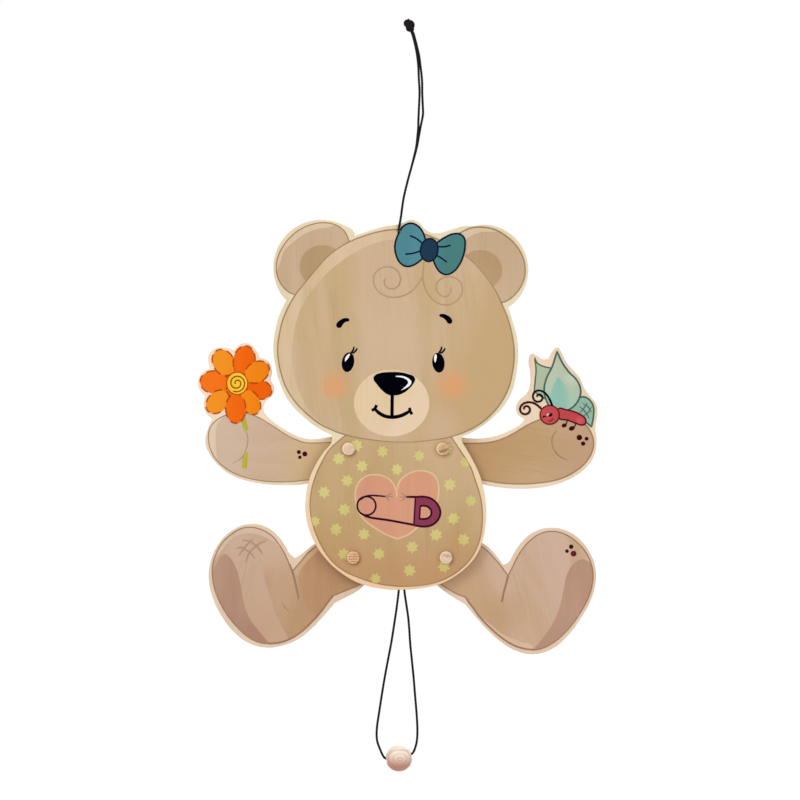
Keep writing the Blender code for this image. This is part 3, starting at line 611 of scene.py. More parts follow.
def ply_edge(name, face):
    """The cut edge of three-ply: a darker cross ply between two pale faces."""
    made, tree, surface = new_material(name)
    veneer = grouped(tree, BIRCH)
    veneer.inputs["Light"].default_value = colour(232, 204, 160)
    veneer.inputs["Dark"].default_value = colour(220, 188, 142)
    veneer.inputs["Grain"].default_value = 1.0
    veneer.inputs["Turn"].default_value = math.radians(90)
    place = add_node(tree, "SeparateXYZ")
    wire(tree, add_node(tree, "TexCoord").outputs["Object"], place.inputs[0])
    depth = math_node(tree, "SUBTRACT", place.outputs["Y"], face + BOARD_THICK / 2)
    away = math_node(tree, "ABSOLUTE", depth, 0.0)
    inner = ranged(tree, away, 0.62 * MM, 0.72 * MM, 1.0, 0.0)
    amount = math_node(tree, "MULTIPLY", inner, 0.55)
    tone = mix_colour(tree, amount, veneer.outputs["Colour"], colour(176, 132, 88))
    wire(tree, tone, surface.inputs["Base Color"])
    surface.inputs["Roughness"].default_value = 0.7
    set_bump(tree, surface, veneer.outputs["Height"], 0.3, 0.1 * MM)
    return made


def dowel_wood(name, centre, look):
    """The sanded end of a dowel: growth rings across it and a paler rim, part wear and part painted highlight,
    strongest towards -X.
    """
    # The last colour of a look is the pale rim: wear with a painted highlight on it
    tint, deep, dark, lines, turn, waves, phase, worn = look
    made, tree, surface = new_material(name, 0.2)
    mapping = add_node(tree, "Mapping")
    mapping.vector_type = "TEXTURE"
    mapping.inputs["Location"].default_value = (centre[0], 0, centre[1])
    mapping.inputs["Rotation"].default_value = (0, turn, 0)
    wire(tree, add_node(tree, "TexCoord").outputs["Object"], mapping.inputs["Vector"])
    bands = add_node(tree, "TexWave", wave_type="BANDS", bands_direction="Z")
    bands.inputs["Scale"].default_value = waves
    bands.inputs["Distortion"].default_value = 1.3
    bands.inputs["Detail"].default_value = 1.0
    bands.inputs["Detail Scale"].default_value = 3.0
    bands.inputs["Phase Offset"].default_value = phase
    wire(tree, mapping.outputs[0], bands.inputs["Vector"])
    narrow = 0.9 if waves < 50 else 0.55
    line = ranged(tree, bands.outputs["Fac"], narrow, 1.0, 0.0, lines)
    blotch = noise(tree, mapping.outputs[0], 420.0, 2.0)
    base = mix_colour(tree, ranged(tree, blotch, 0.35, 0.65), colour(*tint), colour(*deep))
    tone = mix_colour(tree, line, base, colour(*dark))
    away = add_node(tree, "VectorMath", operation="LENGTH")
    wire(tree, stretched(tree, mapping.outputs[0], (1, 0, 1)), away.inputs[0])
    # The pale rim: part wear, part a painted highlight on the dome
    rim = ranged(tree, away.outputs["Value"], 0.6 * PEG_HEAD_R, 0.92 * PEG_HEAD_R, 0.0, 0.95)
    place = add_node(tree, "SeparateXYZ")
    wire(tree, add_node(tree, "TexCoord").outputs["Object"], place.inputs[0])
    # Painted highlight: the rim is paler on the -X side, where the key lamp stands
    side = ranged(tree, place.outputs["X"], centre[0] - PEG_HEAD_R, centre[0] + PEG_HEAD_R, 1.0, 0.3)
    tone = mix_colour(tree, math_node(tree, "MULTIPLY", rim, side), tone, colour(*worn))
    wire(tree, tone, surface.inputs["Base Color"])
    surface.inputs["Roughness"].default_value = 0.6
    set_bump(tree, surface, bands.outputs["Fac"], 0.2, 0.05 * MM)
    return made


def bead_wood(name, centre):
    """Polished rosy wood with growth rings in slender arcs, a painted highlight on its top and a painted sheen on its
    sides.
    """
    made, tree, surface = new_material(name, 0.25)
    mapping = add_node(tree, "Mapping")
    mapping.vector_type = "TEXTURE"
    mapping.inputs["Location"].default_value = (centre.x - 0.2 * MM, centre.y, centre.z + 1.7 * MM)
    mapping.inputs["Rotation"].default_value = (math.radians(12), 0, math.radians(8))
    mapping.inputs["Scale"].default_value = (1.15, 1.0, 0.85)
    wire(tree, add_node(tree, "TexCoord").outputs["Object"], mapping.inputs["Vector"])
    rings = add_node(tree, "TexWave", wave_type="RINGS", rings_direction="Y")
    rings.inputs["Scale"].default_value = 135.0
    rings.inputs["Distortion"].default_value = 2.0
    rings.inputs["Detail"].default_value = 1.0
    rings.inputs["Detail Scale"].default_value = 2.0
    wire(tree, mapping.outputs[0], rings.inputs["Vector"])
    line = ranged(tree, rings.outputs["Fac"], 0.72, 1.0, 0.0, 0.38)
    place = add_node(tree, "SeparateXYZ")
    wire(tree, mapping.outputs[0], place.inputs[0])
    # Painted highlight: paler towards the top, where the lamps light the bead
    rise = ranged(tree, place.outputs["Z"], -7.0 * MM, 5.5 * MM)
    base = mix_colour(tree, rise, colour(190, 136, 116), colour(250, 232, 214))
    # Painted sheen: paler towards the outline as the front view sees it
    away = add_node(tree, "VectorMath", operation="LENGTH")
    wire(tree, stretched(tree, mapping.outputs[0], (1, 0, 0.6)), away.inputs[0])
    side = ranged(tree, away.outputs["Value"], 6.0 * MM, 9.5 * MM, 0.0, 0.45)
    base = mix_colour(tree, side, base, colour(226, 202, 186))
    wire(tree, mix_colour(tree, line, base, colour(168, 120, 98)), surface.inputs["Base Color"])
    surface.inputs["Roughness"].default_value = 0.45
    set_bump(tree, surface, rings.outputs["Fac"], 0.05, 0.05 * MM)
    return made


def cord_fibre(name):
    """Black waxed cord with a violet cast, a little paler in fine random flecks."""
    made, tree, surface = new_material(name, 0.1)
    place = add_node(tree, "TexCoord").outputs["Object"]
    fibre = noise(tree, place, 2600.0, 3.0, 0.6)
    tone = mix_colour(tree, ranged(tree, fibre, 0.35, 0.7), colour(16, 10, 15), colour(40, 30, 39))
    wire(tree, tone, surface.inputs["Base Color"])
    surface.inputs["Roughness"].default_value = 0.75
    set_bump(tree, surface, fibre, 0.4, 0.05 * MM)
    return made


# Shapes

def deselect():
    bpy.ops.object.select_all(action="DESELECT")


def make_only(piece):
    """Select one object alone and make it the active one."""
    deselect()
    piece.select_set(True)
    bpy.context.view_layer.objects.active = piece


def settle(piece, body, slot, *finishes):
    """Apply a piece's place, give it its materials and let it ride on its body."""
    make_only(piece)
    if piece.type == "CURVE":
        bpy.ops.object.convert(target="MESH")
    bpy.ops.object.transform_apply(location=True, rotation=True, scale=True)
    piece.data.materials.clear()
    for finish in finishes:
        piece.data.materials.append(finish)
    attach(piece, body)
    deselect()
    return piece


def new_curve(name, flat):
    curve = bpy.data.curves.new(name, "CURVE")
    curve.dimensions = "2D" if flat else "3D"
    piece = bpy.data.objects.new(name, curve)
    bpy.context.scene.collection.objects.link(piece)
    return piece, curve


def closed_spline(curve, points, steps=6):
    """One smooth closed outline through pixels of the photograph, with its marked corners."""
    spline = curve.splines.new("BEZIER")
    spline.bezier_points.add(len(points) - 1)
    spline.use_cyclic_u = True
    spline.resolution_u = steps
    for knot, point in zip(spline.bezier_points, points):
        x, z = spot(point[0], point[1])
        knot.co = (x, z, 0)
        handle = "VECTOR" if "corner" in point else "AUTO"
        knot.handle_left_type = handle
        knot.handle_right_type = handle


def plate(name, outlines, board, level, finish, steps=6):
    """A printed area: one thin layer that stands level layers proud of its board."""
    piece, curve = new_curve(name, flat=True)
    curve.fill_mode = "BOTH"
    depth = level * PAINT + PAINT_ROOT
    curve.extrude = depth / 2
    for outline in outlines:
        closed_spline(curve, outline, steps)
    piece.rotation_euler = (math.radians(90), 0, 0)
    piece.location.y = board["face"] + PAINT_ROOT - depth / 2
    return settle(piece, board["body"], board["slot"], finish)


def line(name, lines, width, board, level, finish, closed=False, steps=5):
    """Printed lines: flattened round strokes along smooth paths through pixels."""
    piece, curve = new_curve(name, flat=False)
    depth = width * PIXEL / 2 / STROKE_FLAT
    curve.bevel_depth = depth
    curve.bevel_resolution = 1
    curve.use_fill_caps = True
    for points in lines:
        spline = curve.splines.new("BEZIER")
        spline.bezier_points.add(len(points) - 1)
        spline.use_cyclic_u = closed
        spline.resolution_u = steps
        for knot, point in zip(spline.bezier_points, points):
            x, z = spot(point[0], point[1])
            knot.co = (x, 0, z)
            corner = "corner" in point
            knot.handle_left_type = "VECTOR" if corner else "AUTO"
            knot.handle_right_type = "VECTOR" if corner else "AUTO"
            knot.radius = point[2] if len(point) > 2 and not corner else 1.0
    piece.scale.y = LINE_PROUD / depth
    piece.location.y = board["face"] - level * PAINT
    return settle(piece, board["body"], board["slot"], finish)


def ellipse(x, y, half_wide, half_tall, turn=0.0, count=12):
    """Points on an ellipse, in pixels. A positive turn leans its top to the right."""
    lean = math.radians(turn)
    points = []
    for step in range(count):
        angle = math.tau * step / count
        across = half_wide * math.cos(angle)
        up = half_tall * math.sin(angle)
        points.append((x + across * math.cos(lean) + up * math.sin(lean),
                       y + across * math.sin(lean) - up * math.cos(lean)))
    return points


def star(x, y, size, turn):
    """A seven-pointed star in pixels, with every corner sharp."""
    points = []
    for step in range(14):
        angle = math.radians(turn) + math.tau * step / 14
        reach = size if step % 2 == 0 else size * 0.63
        points.append((x + reach * math.sin(angle), y - reach * math.cos(angle), "corner"))
    return points


def spiral(x, y, first, last, start, turns, count=22):
    """Points on a spiral in pixels, which opens from one radius to another, ever more slowly."""
    points = []
    for step in range(count):
        share = step / (count - 1)
        angle = math.radians(start) + math.tau * turns * share
        reach = first + (last - first) * share ** 0.85
        points.append((x + reach * math.cos(angle), y + reach * math.sin(angle)))
    return points


def board_loops(node):
    """The closed outlines of a board's front face, as points in X and Z."""
    shape = bmesh.new()
    shape.from_mesh(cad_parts[node].data)
    bmesh.ops.remove_doubles(shape, verts=shape.verts, dist=0.005 * MM)
    shape.normal_update()
    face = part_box(node)[0].y
    rim = {}
    for edge in shape.edges:
        on_face = all(abs(corner.co.y - face) < 0.01 * MM for corner in edge.verts)
        if on_face and any(abs(side.normal.y) < 0.5 for side in edge.link_faces):
            first, second = edge.verts
            rim.setdefault(first, []).append(second)
            rim.setdefault(second, []).append(first)
    loops = []
    while rim:
        start = next(iter(rim))
        loop = [start]
        here = rim[start][0]
        while here is not start:
            ways = rim.pop(loop[-1])
            loop.append(here)
            ways = rim[here]
            here = ways[0] if ways[0] is not loop[-2] else ways[1]
        rim.pop(loop[-1])
        loops.append([(corner.co.x, corner.co.z) for corner in loop])
    shape.free()
    return loops


def area(loop):
    """Twice the area inside a loop, above zero where it runs anticlockwise."""
    return sum(x * next_z - next_x * z
               for (x, z), (next_x, next_z) in zip(loop, loop[1:] + loop[:1]))


def board_holes(node):
    """The round holes of a board, from the highest down: X, Z and radius of each."""
    loops = sorted(board_loops(node), key=lambda loop: -abs(area(loop)))
    holes = []
    for loop in loops[1:]:
        x = sum(point[0] for point in loop) / len(loop)
        z = sum(point[1] for point in loop) / len(loop)
        holes.append((x, z, math.dist(loop[0], (x, z))))
    return sorted(holes, key=lambda hole: -hole[1])


def weld(piece):
    """Merge the corners that two faces hold in the same place, so that the piece is closed."""
    make_only(piece)
    bpy.ops.object.mode_set(mode="EDIT")
    bpy.ops.mesh.select_all(action="SELECT")
    bpy.ops.mesh.remove_doubles(threshold=0.002 * MM)
    bpy.ops.object.mode_set(mode="OBJECT")


def cut(piece, tool, operation):
    """Change a piece by a tool's shape, which is used up."""
    make_only(piece)
    change = piece.modifiers.new("cut", "BOOLEAN")
    change.operation = operation
    change.object = tool
    bpy.ops.object.modifier_apply(modifier=change.name)
    bpy.data.objects.remove(tool)
    deselect()


def drill(piece, holes, shape=1.0):
    """Cut holes through a printed piece. Shape is their height to their width."""
    weld(piece)
    for x, z, radius in holes:
        bpy.ops.mesh.primitive_cylinder_add(vertices=32, radius=radius, depth=10 * MM,
                                            location=(x, BOARD_FACE, z), scale=(1, shape, 1),
                                            rotation=(math.radians(90), 0, 0))
        cut(piece, bpy.context.object, "DIFFERENCE")


def trim(piece, outline):
    """Cut off the part of a printed piece that lies outside an outline."""
    tool, curve = new_curve("outline_cutter", flat=True)
    curve.fill_mode = "BOTH"
    curve.extrude = 5 * MM
    closed_spline(curve, outline)
    tool.rotation_euler = (math.radians(90), 0, 0)
    tool.location.y = BOARD_FACE
    make_only(tool)
    bpy.ops.object.convert(target="MESH")
    weld(tool)
    cut(piece, tool, "INTERSECT")


def cut_board(node, board, face_finish, edge_finish, back_finish):
    """A board with the CAD board's outline and holes, and sanded edges."""
    low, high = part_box(node)
    thick = high.y - low.y
    piece, curve = new_curve(node + "_ply", flat=True)
    curve.fill_mode = "BOTH"
    curve.extrude = thick / 2 - EDGE_ROUND
    curve.bevel_depth = EDGE_ROUND
    curve.bevel_resolution = 2
    curve.offset = -EDGE_ROUND
    loops = sorted(board_loops(node), key=lambda loop: -abs(area(loop)))
    for index, loop in enumerate(loops):
        if (area(loop) > 0) != (index == 0):
            loop.reverse()
        spline = curve.splines.new("POLY")
        spline.points.add(len(loop) - 1)
        spline.use_cyclic_u = True
        for knot, (x, z) in zip(spline.points, loop):
            knot.co = (x, z, 0, 1)
    piece.rotation_euler = (math.radians(90), 0, 0)
    piece.location.y = (low.y + high.y) / 2
    settle(piece, board["body"], board["slot"], face_finish, edge_finish, back_finish)
    bpy.context.view_layer.update()
    for polygon in piece.data.polygons:
        if polygon.normal.y < -0.5:
            polygon.material_index = 0
        elif polygon.normal.y > 0.95:
            polygon.material_index = 2
        else:
            polygon.material_index = 1
    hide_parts(node)
    return piece


def turned(name, profile, place, turn, body, slot, finish, steps=48):
    """A piece turned on a lathe. Its profile (radius, height) runs down the outer side."""
    mesh = bpy.data.meshes.new(name)
    corners = [(radius, 0, height) for radius, height in profile]
    edges = [(index, index + 1) for index in range(len(corners) - 1)]
    if profile[0][0] > 0:
        edges.append((len(corners) - 1, 0))
    mesh.from_pydata(corners, edges, [])
    piece = bpy.data.objects.new(name, mesh)
    bpy.context.scene.collection.objects.link(piece)
    make_only(piece)
    screw = piece.modifiers.new("turning", "SCREW")
    screw.steps = steps
    screw.render_steps = steps
    screw.use_merge_vertices = True
    screw.merge_threshold = 0.005 * MM
    bpy.ops.object.modifier_apply(modifier=screw.name)
    bpy.ops.object.mode_set(mode="EDIT")
    bpy.ops.mesh.select_all(action="SELECT")
    bpy.ops.mesh.remove_doubles(threshold=0.002 * MM)
    bpy.ops.mesh.normals_make_consistent(inside=False)
    bpy.ops.object.mode_set(mode="OBJECT")
    piece.rotation_euler = turn
    piece.location = place
    settle(piece, body, slot, finish)
    make_only(piece)
    bpy.ops.object.shade_smooth_by_angle(angle=math.radians(35))
    deselect()
    return piece


# Cords

def smooth_route(points, step):
    """Points about a step apart on a smooth curve through a route (centripetal Catmull-Rom)."""
    points = [Vector(point) for point in points]
    points = [2 * points[0] - points[1]] + points + [2 * points[-1] - points[-2]]
    route = []
    for before, start, end, after in zip(points, points[1:], points[2:], points[3:]):
        time_1 = (start - before).length ** 0.5
        time_2 = time_1 + (end - start).length ** 0.5
        time_3 = time_2 + (after - end).length ** 0.5
        count = max(2, round((end - start).length / step))
        for part in range(count):
            time = time_1 + (time_2 - time_1) * part / count
            a_1 = before.lerp(start, time / time_1)
            a_2 = start.lerp(end, (time - time_1) / (time_2 - time_1))
            a_3 = end.lerp(after, (time - time_2) / (time_3 - time_2))
            b_1 = a_1.lerp(a_2, time / time_2)
            b_2 = a_2.lerp(a_3, (time - time_1) / (time_3 - time_1))
            route.append(b_1.lerp(b_2, (time - time_1) / (time_2 - time_1)))
    return route + [points[-2]]


def even_route(route, step):
    """The same way with its points at an even distance."""
    spaced = [route[0]]
    left = step
    for start, end in zip(route, route[1:]):
        span = (end - start).length
        while span >= left:
            start = start.lerp(end, left / span)
            spaced.append(start)
            span = (end - start).length
            left = step
        left -= span
    if (spaced[-1] - route[-1]).length > step / 2:
        spaced.append(route[-1])
    return spaced


def braid_mesh(name, route, radius, closed=False):
    """A braided cord: a tube whose crossing strands stand out as a pattern of diamonds."""
    sides = 16
    strands = 4
    pitch = 3.2 * MM
    step = 0.3 * MM
    route = even_route(route, step)
    count = len(route)
    corners = []
    across = Vector((0, 1, 0))
    for index, centre in enumerate(route):
        before = route[index - 1] if index or closed else centre
        after = route[(index + 1) % count] if index < count - 1 or closed else centre
        along = (after - before).normalized()
        across = (across - along * across.dot(along)).normalized()
        other = along.cross(across)
        twist = math.tau * index * step / pitch
        for side in range(sides):
            angle = math.tau * side / sides
            lift = math.sin(strands / 2 * angle + twist) * math.sin(strands / 2 * angle - twist)
            reach = radius * (1.09 + 0.07 * lift)
            corners.append(centre + (across * math.cos(angle) + other * math.sin(angle)) * reach)
    faces = []
    for ring in range(count if closed else count - 1):
        for side in range(sides):
            here = ring * sides
            there = ((ring + 1) % count) * sides
            beside = (side + 1) % sides
            faces.append((here + side, here + beside, there + beside, there + side))
    if not closed:
        faces.append(tuple(reversed(range(sides))))
        faces.append(tuple(range((count - 1) * sides, count * sides)))
    mesh = bpy.data.meshes.new(name)
    mesh.from_pydata(corners, [], faces)
    mesh.shade_smooth()
    piece = bpy.data.objects.new(name, mesh)
    bpy.context.scene.collection.objects.link(piece)
    return piece


def cord(name, route, node, body, finish):
    """A length of braided cord in the place of a CAD tube."""
    piece = braid_mesh(name, route, CORD_D / 2)
    settle(piece, body, "cord", finish)
    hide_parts(node)
    return piece


def tied_knot(name, node, body, finish, size=None, lean=0.0, waves=3, turns=2, ends=()):
    """A tight knot that fills its CAD solid: cord wound round a small core."""
    low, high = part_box(node)
    centre = (low + high) / 2
    half = size / 2 if size else (high - low) / 2
    strand = CORD_D / 2
    reach = half - Vector((strand, strand, strand))
    route = []
    count = 90 * turns
    for step in range(count):
        angle = math.tau * step / count
        round_about = angle * turns
        rise = math.sin(angle * waves) * math.radians(62)
        over = 1 + 0.1 * math.cos(angle * waves * 2)
        point = Vector((reach.x * math.cos(round_about) * math.cos(rise) * over,
                        reach.y * math.sin(round_about) * math.cos(rise) * over,
                        reach.z * math.sin(rise)))
        route.append(centre + Matrix.Rotation(lean, 3, "Y") @ point)
    route.append(route[0])
    piece = braid_mesh(name, smooth_route(route, 0.2 * MM), strand)
    extra = []
    bpy.ops.mesh.primitive_uv_sphere_add(segments=24, ring_count=14, radius=1, location=centre,
                                         rotation=(0, lean, 0),
                                         scale=half - Vector((strand, strand, strand)) * 0.9)
    core = bpy.context.object
    bpy.ops.object.transform_apply(location=True, rotation=True, scale=True)
    extra.append(core)
    for index, (start, end) in enumerate(ends):
        way = [Vector(start), (Vector(start) + Vector(end)) / 2, Vector(end)]
        extra.append(braid_mesh(f"{name}_end_{index}", smooth_route(way, 0.2 * MM), strand * 0.9))
    deselect()
    for thing in extra:
        thing.select_set(True)
    piece.select_set(True)
    bpy.context.view_layer.objects.active = piece
    bpy.ops.object.join()
    settle(piece, body, "cord", finish)
    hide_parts(node)
    return piece


# Route of the hanging cord in millimetres, from the nail: x, y, z
HANGING_ROUTE = [
    (-0.3, -0.7, 0.1), (1.7, -0.7, -7.5), (2.8, -0.55, -13.5), (3.5, -0.45, -19.5),
    (3.9, -0.2, -28.0), (4.3, -0.2, -35.5), (4.1, -0.2, -41.5), (3.8, -0.3, -48.3),
    (3.6, -0.45, -52.5), (3.5, -0.6, -57.0), (3.1, -0.7, -61.5), (2.2, -0.85, -69.0),
    (-0.4, -0.85, -80.0), (-3.1, -0.85, -90.0), (-5.4, -1.1, -100.0), (-6.8, -2.2, -110.0),
    (-7.5, -2.95, -114.2), (-8.0, -3.05, -117.0), (-8.05, -2.65, -118.65),
    (-8.1, -1.5, -119.75), (-8.1, 0.0, -120.15), (-8.1, 1.5, -119.75), (-8.05, 2.65, -118.65),
    (-8.0, 3.05, -117.0), (-7.5, 2.95, -114.2), (-6.8, 2.2, -110.0),
    (-5.4, 1.1, -100.0), (-3.1, 0.85, -90.0), (-0.4, 0.85, -80.0), (2.6, 0.85, -69.0),
    (4.1, 0.7, -61.0), (4.9, 0.6, -56.5), (5.9, 0.4, -51.8), (6.4, 0.3, -48.4),
    (6.3, 0.2, -44.7), (5.95, 0.2, -37.5), (5.75, 0.2, -28.0), (4.8, 0.45, -19.5),
    (4.0, 0.55, -13.5), (2.6, 0.7, -7.5), (0.6, 0.7, 0.1),
]
# Route of the pull loop: x, z. All of it lies in the plane of the strings.
PULL_ROUTE = [
    (-7.3, -323.6), (-7.9, -330.5), (-8.3, -336.0), (-9.4, -345.0), (-10.9, -355.1),
    (-12.7, -366.5), (-15.1, -379.0), (-17.1, -390.0), (-18.8, -400.5), (-20.1, -409.0),
    (-21.2, -416.5), (-21.5, -421.5), (-21.2, -425.2), (-20.3, -428.3), (-19.2, -431.0),
    (-18.2, -433.3), (-17.3, -434.9), (-16.3, -435.9), (-15.0, -436.2), (-11.5, -435.5),
    (-4.5, -434.2), (-2.0, -433.72), (-0.7, -433.4), (0.3, -432.6), (1.1, -431.2),
    (1.9, -428.9), (2.6, -426.0), (2.95, -422.5), (3.0, -418.0), (2.8, -413.0), (2.3, -406.0),
    (1.6, -398.0), (0.8, -388.0), (-0.3, -377.0), (-1.3, -367.0), (-1.9, -358.0),
    (-2.6, -350.5), (-3.7, -343.0), (-4.7, -336.0), (-5.1, -330.5), (-5.7, -323.6),
]
TOP_KNOT_SIZE = Vector((6.2, 5.4, 8.6)) * MM
TOP_KNOT_LEAN = math.radians(-26)
# Short lengths of cord at the top knot, in millimetres: the two strands where they come out of
# it below, and the two cut ends above
TOP_KNOT_ENDS = [
    [(-0.4, -0.7, -0.5), (-1.1, -0.6, 2.0)], [(0.6, 0.7, -0.5), (0.0, 0.5, 2.0)],
    [(-2.9, 0.3, 5.6), (-3.5, 0.4, 7.9)], [(-1.0, -0.3, 5.6), (-0.6, -0.5, 7.5)],
]
STRING_Y = (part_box("pull_string_upper")[0].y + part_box("pull_string_upper")[1].y) / 2
TURN_R = 1.6 * MM             # bend of a cross string where it turns back into its hole
ROUTE_STEP = 0.5 * MM


def make_cords(fibre):
    """The hanging cord, the pull loop, the strings behind the body and all their knots."""
    route = smooth_route([Vector(point) * MM for point in HANGING_ROUTE], ROUTE_STEP)
    hanging = cord("hanging_cord", route, "hanging_loop", "board", fibre)
    top = tied_knot("top_knot", "hanging_knot", "board", fibre, TOP_KNOT_SIZE, TOP_KNOT_LEAN,
                    3, 4, [[Vector(point) * MM for point in end] for end in TOP_KNOT_ENDS])

    route = smooth_route([(x * MM, STRING_Y, z * MM) for x, z in PULL_ROUTE], ROUTE_STEP)
    loop = cord("pull_cord", route, "pull_loop", "pull", fibre)

    for kind in ("arm", "leg"):
        tied_knot(kind + "_cross_knot", kind + "_string_knot", "pull", fibre)
        for hand, side in (("left", 1), ("right", -1)):
            node = f"{hand}_{kind}_string"
            low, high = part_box(node)
            height = (low.z + high.z) / 2
            start, end = (high.x, low.x + CORD_D / 2) if side > 0 else (low.x, high.x - CORD_D / 2)
            way = [Vector((start, STRING_Y, height))]
            for step in range(9):
                angle = math.radians(90 * step / 8)
                way.append(Vector((end + side * TURN_R * (1 - math.sin(angle)),
                                   STRING_Y + TURN_R * (1 - math.cos(angle)), height)))
            way.append(Vector((end, high.y, height)))
            cord(f"{hand}_{kind}_cross_string", way, node, "pull", fibre)
            tied_knot(f"{hand}_{kind}_end_knot", f"{hand}_{kind}_tie_knot", "pull", fibre)
    tied_knot("loop_knot", "gather_knot", "pull", fibre)
    for part in ("upper", "lower"):
        low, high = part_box("pull_string_" + part)
        middle = (low.x + high.x) / 2
        way = [Vector((middle, STRING_Y, high.z)), Vector((middle, STRING_Y, low.z))]
        cord(f"pull_line_{part}", way, "pull_string_" + part, "pull", fibre)


# Boards

# Where the hanging cord slants through the print: X, Z and half width of the slot, and its
# height to its width
CORD_SLOT = (-8.1 * MM, -119.2 * MM, 0.85 * MM)
SLOT_SHAPE = 1.35

BOARD = {"face": BOARD_FACE, "body": "board", "slot": "printed_board"}
LIMBS = {name: {"face": LIMB_FACE, "body": name, "slot": "printed_limbs"}
         for name in ("left_arm", "right_arm", "left_leg", "right_leg")}


def make_boards():
    """The five plywood boards, with bare wood outside their pictures."""
    back = printed("bare_back", (228, 198, 154), (214, 182, 136), 1.4)
    bare = printed("bare_birch", (232, 216, 183), (226, 208, 173), 0.6,
                   fades=[((236, 208, 168), (395, 425), (395, 465), 0.9),
                          ((236, 198, 157), (395, 480), (395, 560), 1.0)])
    cut_board("front_board", BOARD, bare, ply_edge("board_ply", BOARD_FACE), back)
    edge = ply_edge("limb_ply", LIMB_FACE)
    for name, board in LIMBS.items():
        if name.endswith("arm"):
            bare = printed(name + "_bare", (237, 214, 186), (230, 206, 177), 0.6,
                           spots=[((250, 226, 200), (236, 383), 70, 1.0)])
        else:
            bare = printed(name + "_bare", (229, 203, 177), (223, 195, 168), 0.6)
        cut_board(name, board, bare, edge, back)


def make_head(line_ink, soft_ink):
    """The printed head: ears behind it, its light side, muzzle, face and curls."""
    ear_light = printed("ear_light", (221, 198, 168), (215, 190, 158))
    ear_tone = printed("ear_tone", (203, 174, 143), (196, 167, 133))
    inner = printed("ear_inside", (187, 155, 117), (178, 147, 108))
    ears = {"left": (LEFT_EAR, LEFT_EAR_LIGHT, LEFT_EAR_HOLLOW, 1.1),
            "right": (RIGHT_EAR, RIGHT_EAR_LIGHT, RIGHT_EAR_HOLLOW, 1.35)}
    for side, (outline, sickle, hollow, width) in ears.items():
        plate(side + "_ear_tone", [outline], BOARD, 1, ear_tone)
        plate(side + "_ear_light", [sickle], BOARD, 2, ear_light)
        plate(side + "_ear_hollow", [ellipse(*hollow)], BOARD, 2, inner)
        line(side + "_ear_line", [outline], width, BOARD, 2, line_ink, closed=True)

    blush = (222, 156, 104)
    face = printed("head_print", (206, 176, 142), (198, 169, 126), 1.0, 0.1,
                   fades=[((194, 162, 117), (440, 300), (500, 330), 0.9)],
                   spots=[(blush, (334.5, 386), 21, 0.78), (blush, (452.5, 385.5), 23, 0.78),
                          ((207, 179, 148), (392, 340), 60, 0.6),
                          ((206, 175, 144), (440, 428), 30, 0.7)])
    light = printed("head_light", (218, 191, 157), (212, 184, 146))
    muzzle = printed("muzzle_print", (226, 200, 162), (222, 196, 153), 0.8,
                     fades=[((229, 203, 173), (388, 398), (410, 412), 0.8)])
    drill(plate("head_print", [HEAD], BOARD, 4, face), [CORD_SLOT], SLOT_SHAPE)
    drill(plate("head_light", [HEAD_LIGHT], BOARD, 5, light), [CORD_SLOT], SLOT_SHAPE)
    drill(line("head_line", [HEAD], 1.2, BOARD, 5, line_ink, closed=True), [CORD_SLOT],
          SLOT_SHAPE)
    plate("muzzle", [ellipse(*MUZZLE, count=16)], BOARD, 5, muzzle)
    line("curls", [CURL_LEFT, CURL_RIGHT], 1.4, BOARD, 4.5, soft_ink)

    black = printed("black_ink", (4, 4, 12), (2, 2, 8), 0.2, gloss=0.0)
    white = printed("white_ink", (250, 248, 244), (244, 240, 236), 0.2)
    eyes = [ellipse(348, 362.2, 6.1, 9.9, 10), ellipse(438.4, 362.7, 6.1, 9.9, -7)]
    plate("eyes", eyes, BOARD, 6, black)
    plate("brows", [LEFT_BROW, RIGHT_BROW], BOARD, 6, black)
    plate("nose", [NOSE], BOARD, 6, black)
    plate("glints", [LEFT_GLINT, RIGHT_GLINT, NOSE_GLINT], BOARD, 7, white)
    line("lashes", LASHES, 1.75, BOARD, 6, black)
    line("smile", [SMILE], 3.6, BOARD, 6, black)
    line("smile_ticks", SMILE_TICKS, 3.0, BOARD, 6, black)
    line("lip", [[(392.3, 394), (392.1, 405), (392, 416.4)]], 3.4, BOARD, 6, black)


def make_bow():
    """The bow on the head, over the ear and the curls."""
    teal = printed("bow_teal", (79, 136, 148), (76, 132, 142), 0.6,
                   fades=[((69, 122, 120), (424, 248), (448, 256), 1.0)], gloss=0.08)
    navy = printed("bow_line", (12, 30, 46), (8, 24, 38), 0.2, gloss=0.0)
    blue = printed("bow_knot", (24, 54, 78), (20, 46, 66), 0.6, gloss=0.08)
    drill(plate("bow_lobes", [BOW_LEFT, BOW_RIGHT], BOARD, 7, teal), [CORD_SLOT], SLOT_SHAPE)
    drill(line("bow_outline", [BOW_LEFT, BOW_RIGHT], 1.75, BOARD, 7, navy, closed=True),
          [CORD_SLOT], SLOT_SHAPE)
    line("bow_creases", BOW_CREASES, 1.65, BOARD, 7, navy)
    knot = ellipse(*BOW_KNOT, 8)
    plate("bow_knot", [knot], BOARD, 8, blue)
    line("bow_knot_outline", [knot], 1.5, BOARD, 8, navy, closed=True)
    # A painted shadow: a dark patch round the hanging hole, where the hole and the cord lie in shade
    worn = printed("hole_shadow_ink", (34, 12, 14), (24, 8, 10), 0.2, gloss=0.0)
    drill(plate("painted_hole_shadow", [ellipse(*HOLE_SHADOW)], BOARD, 8, worn), [CORD_SLOT], SLOT_SHAPE)


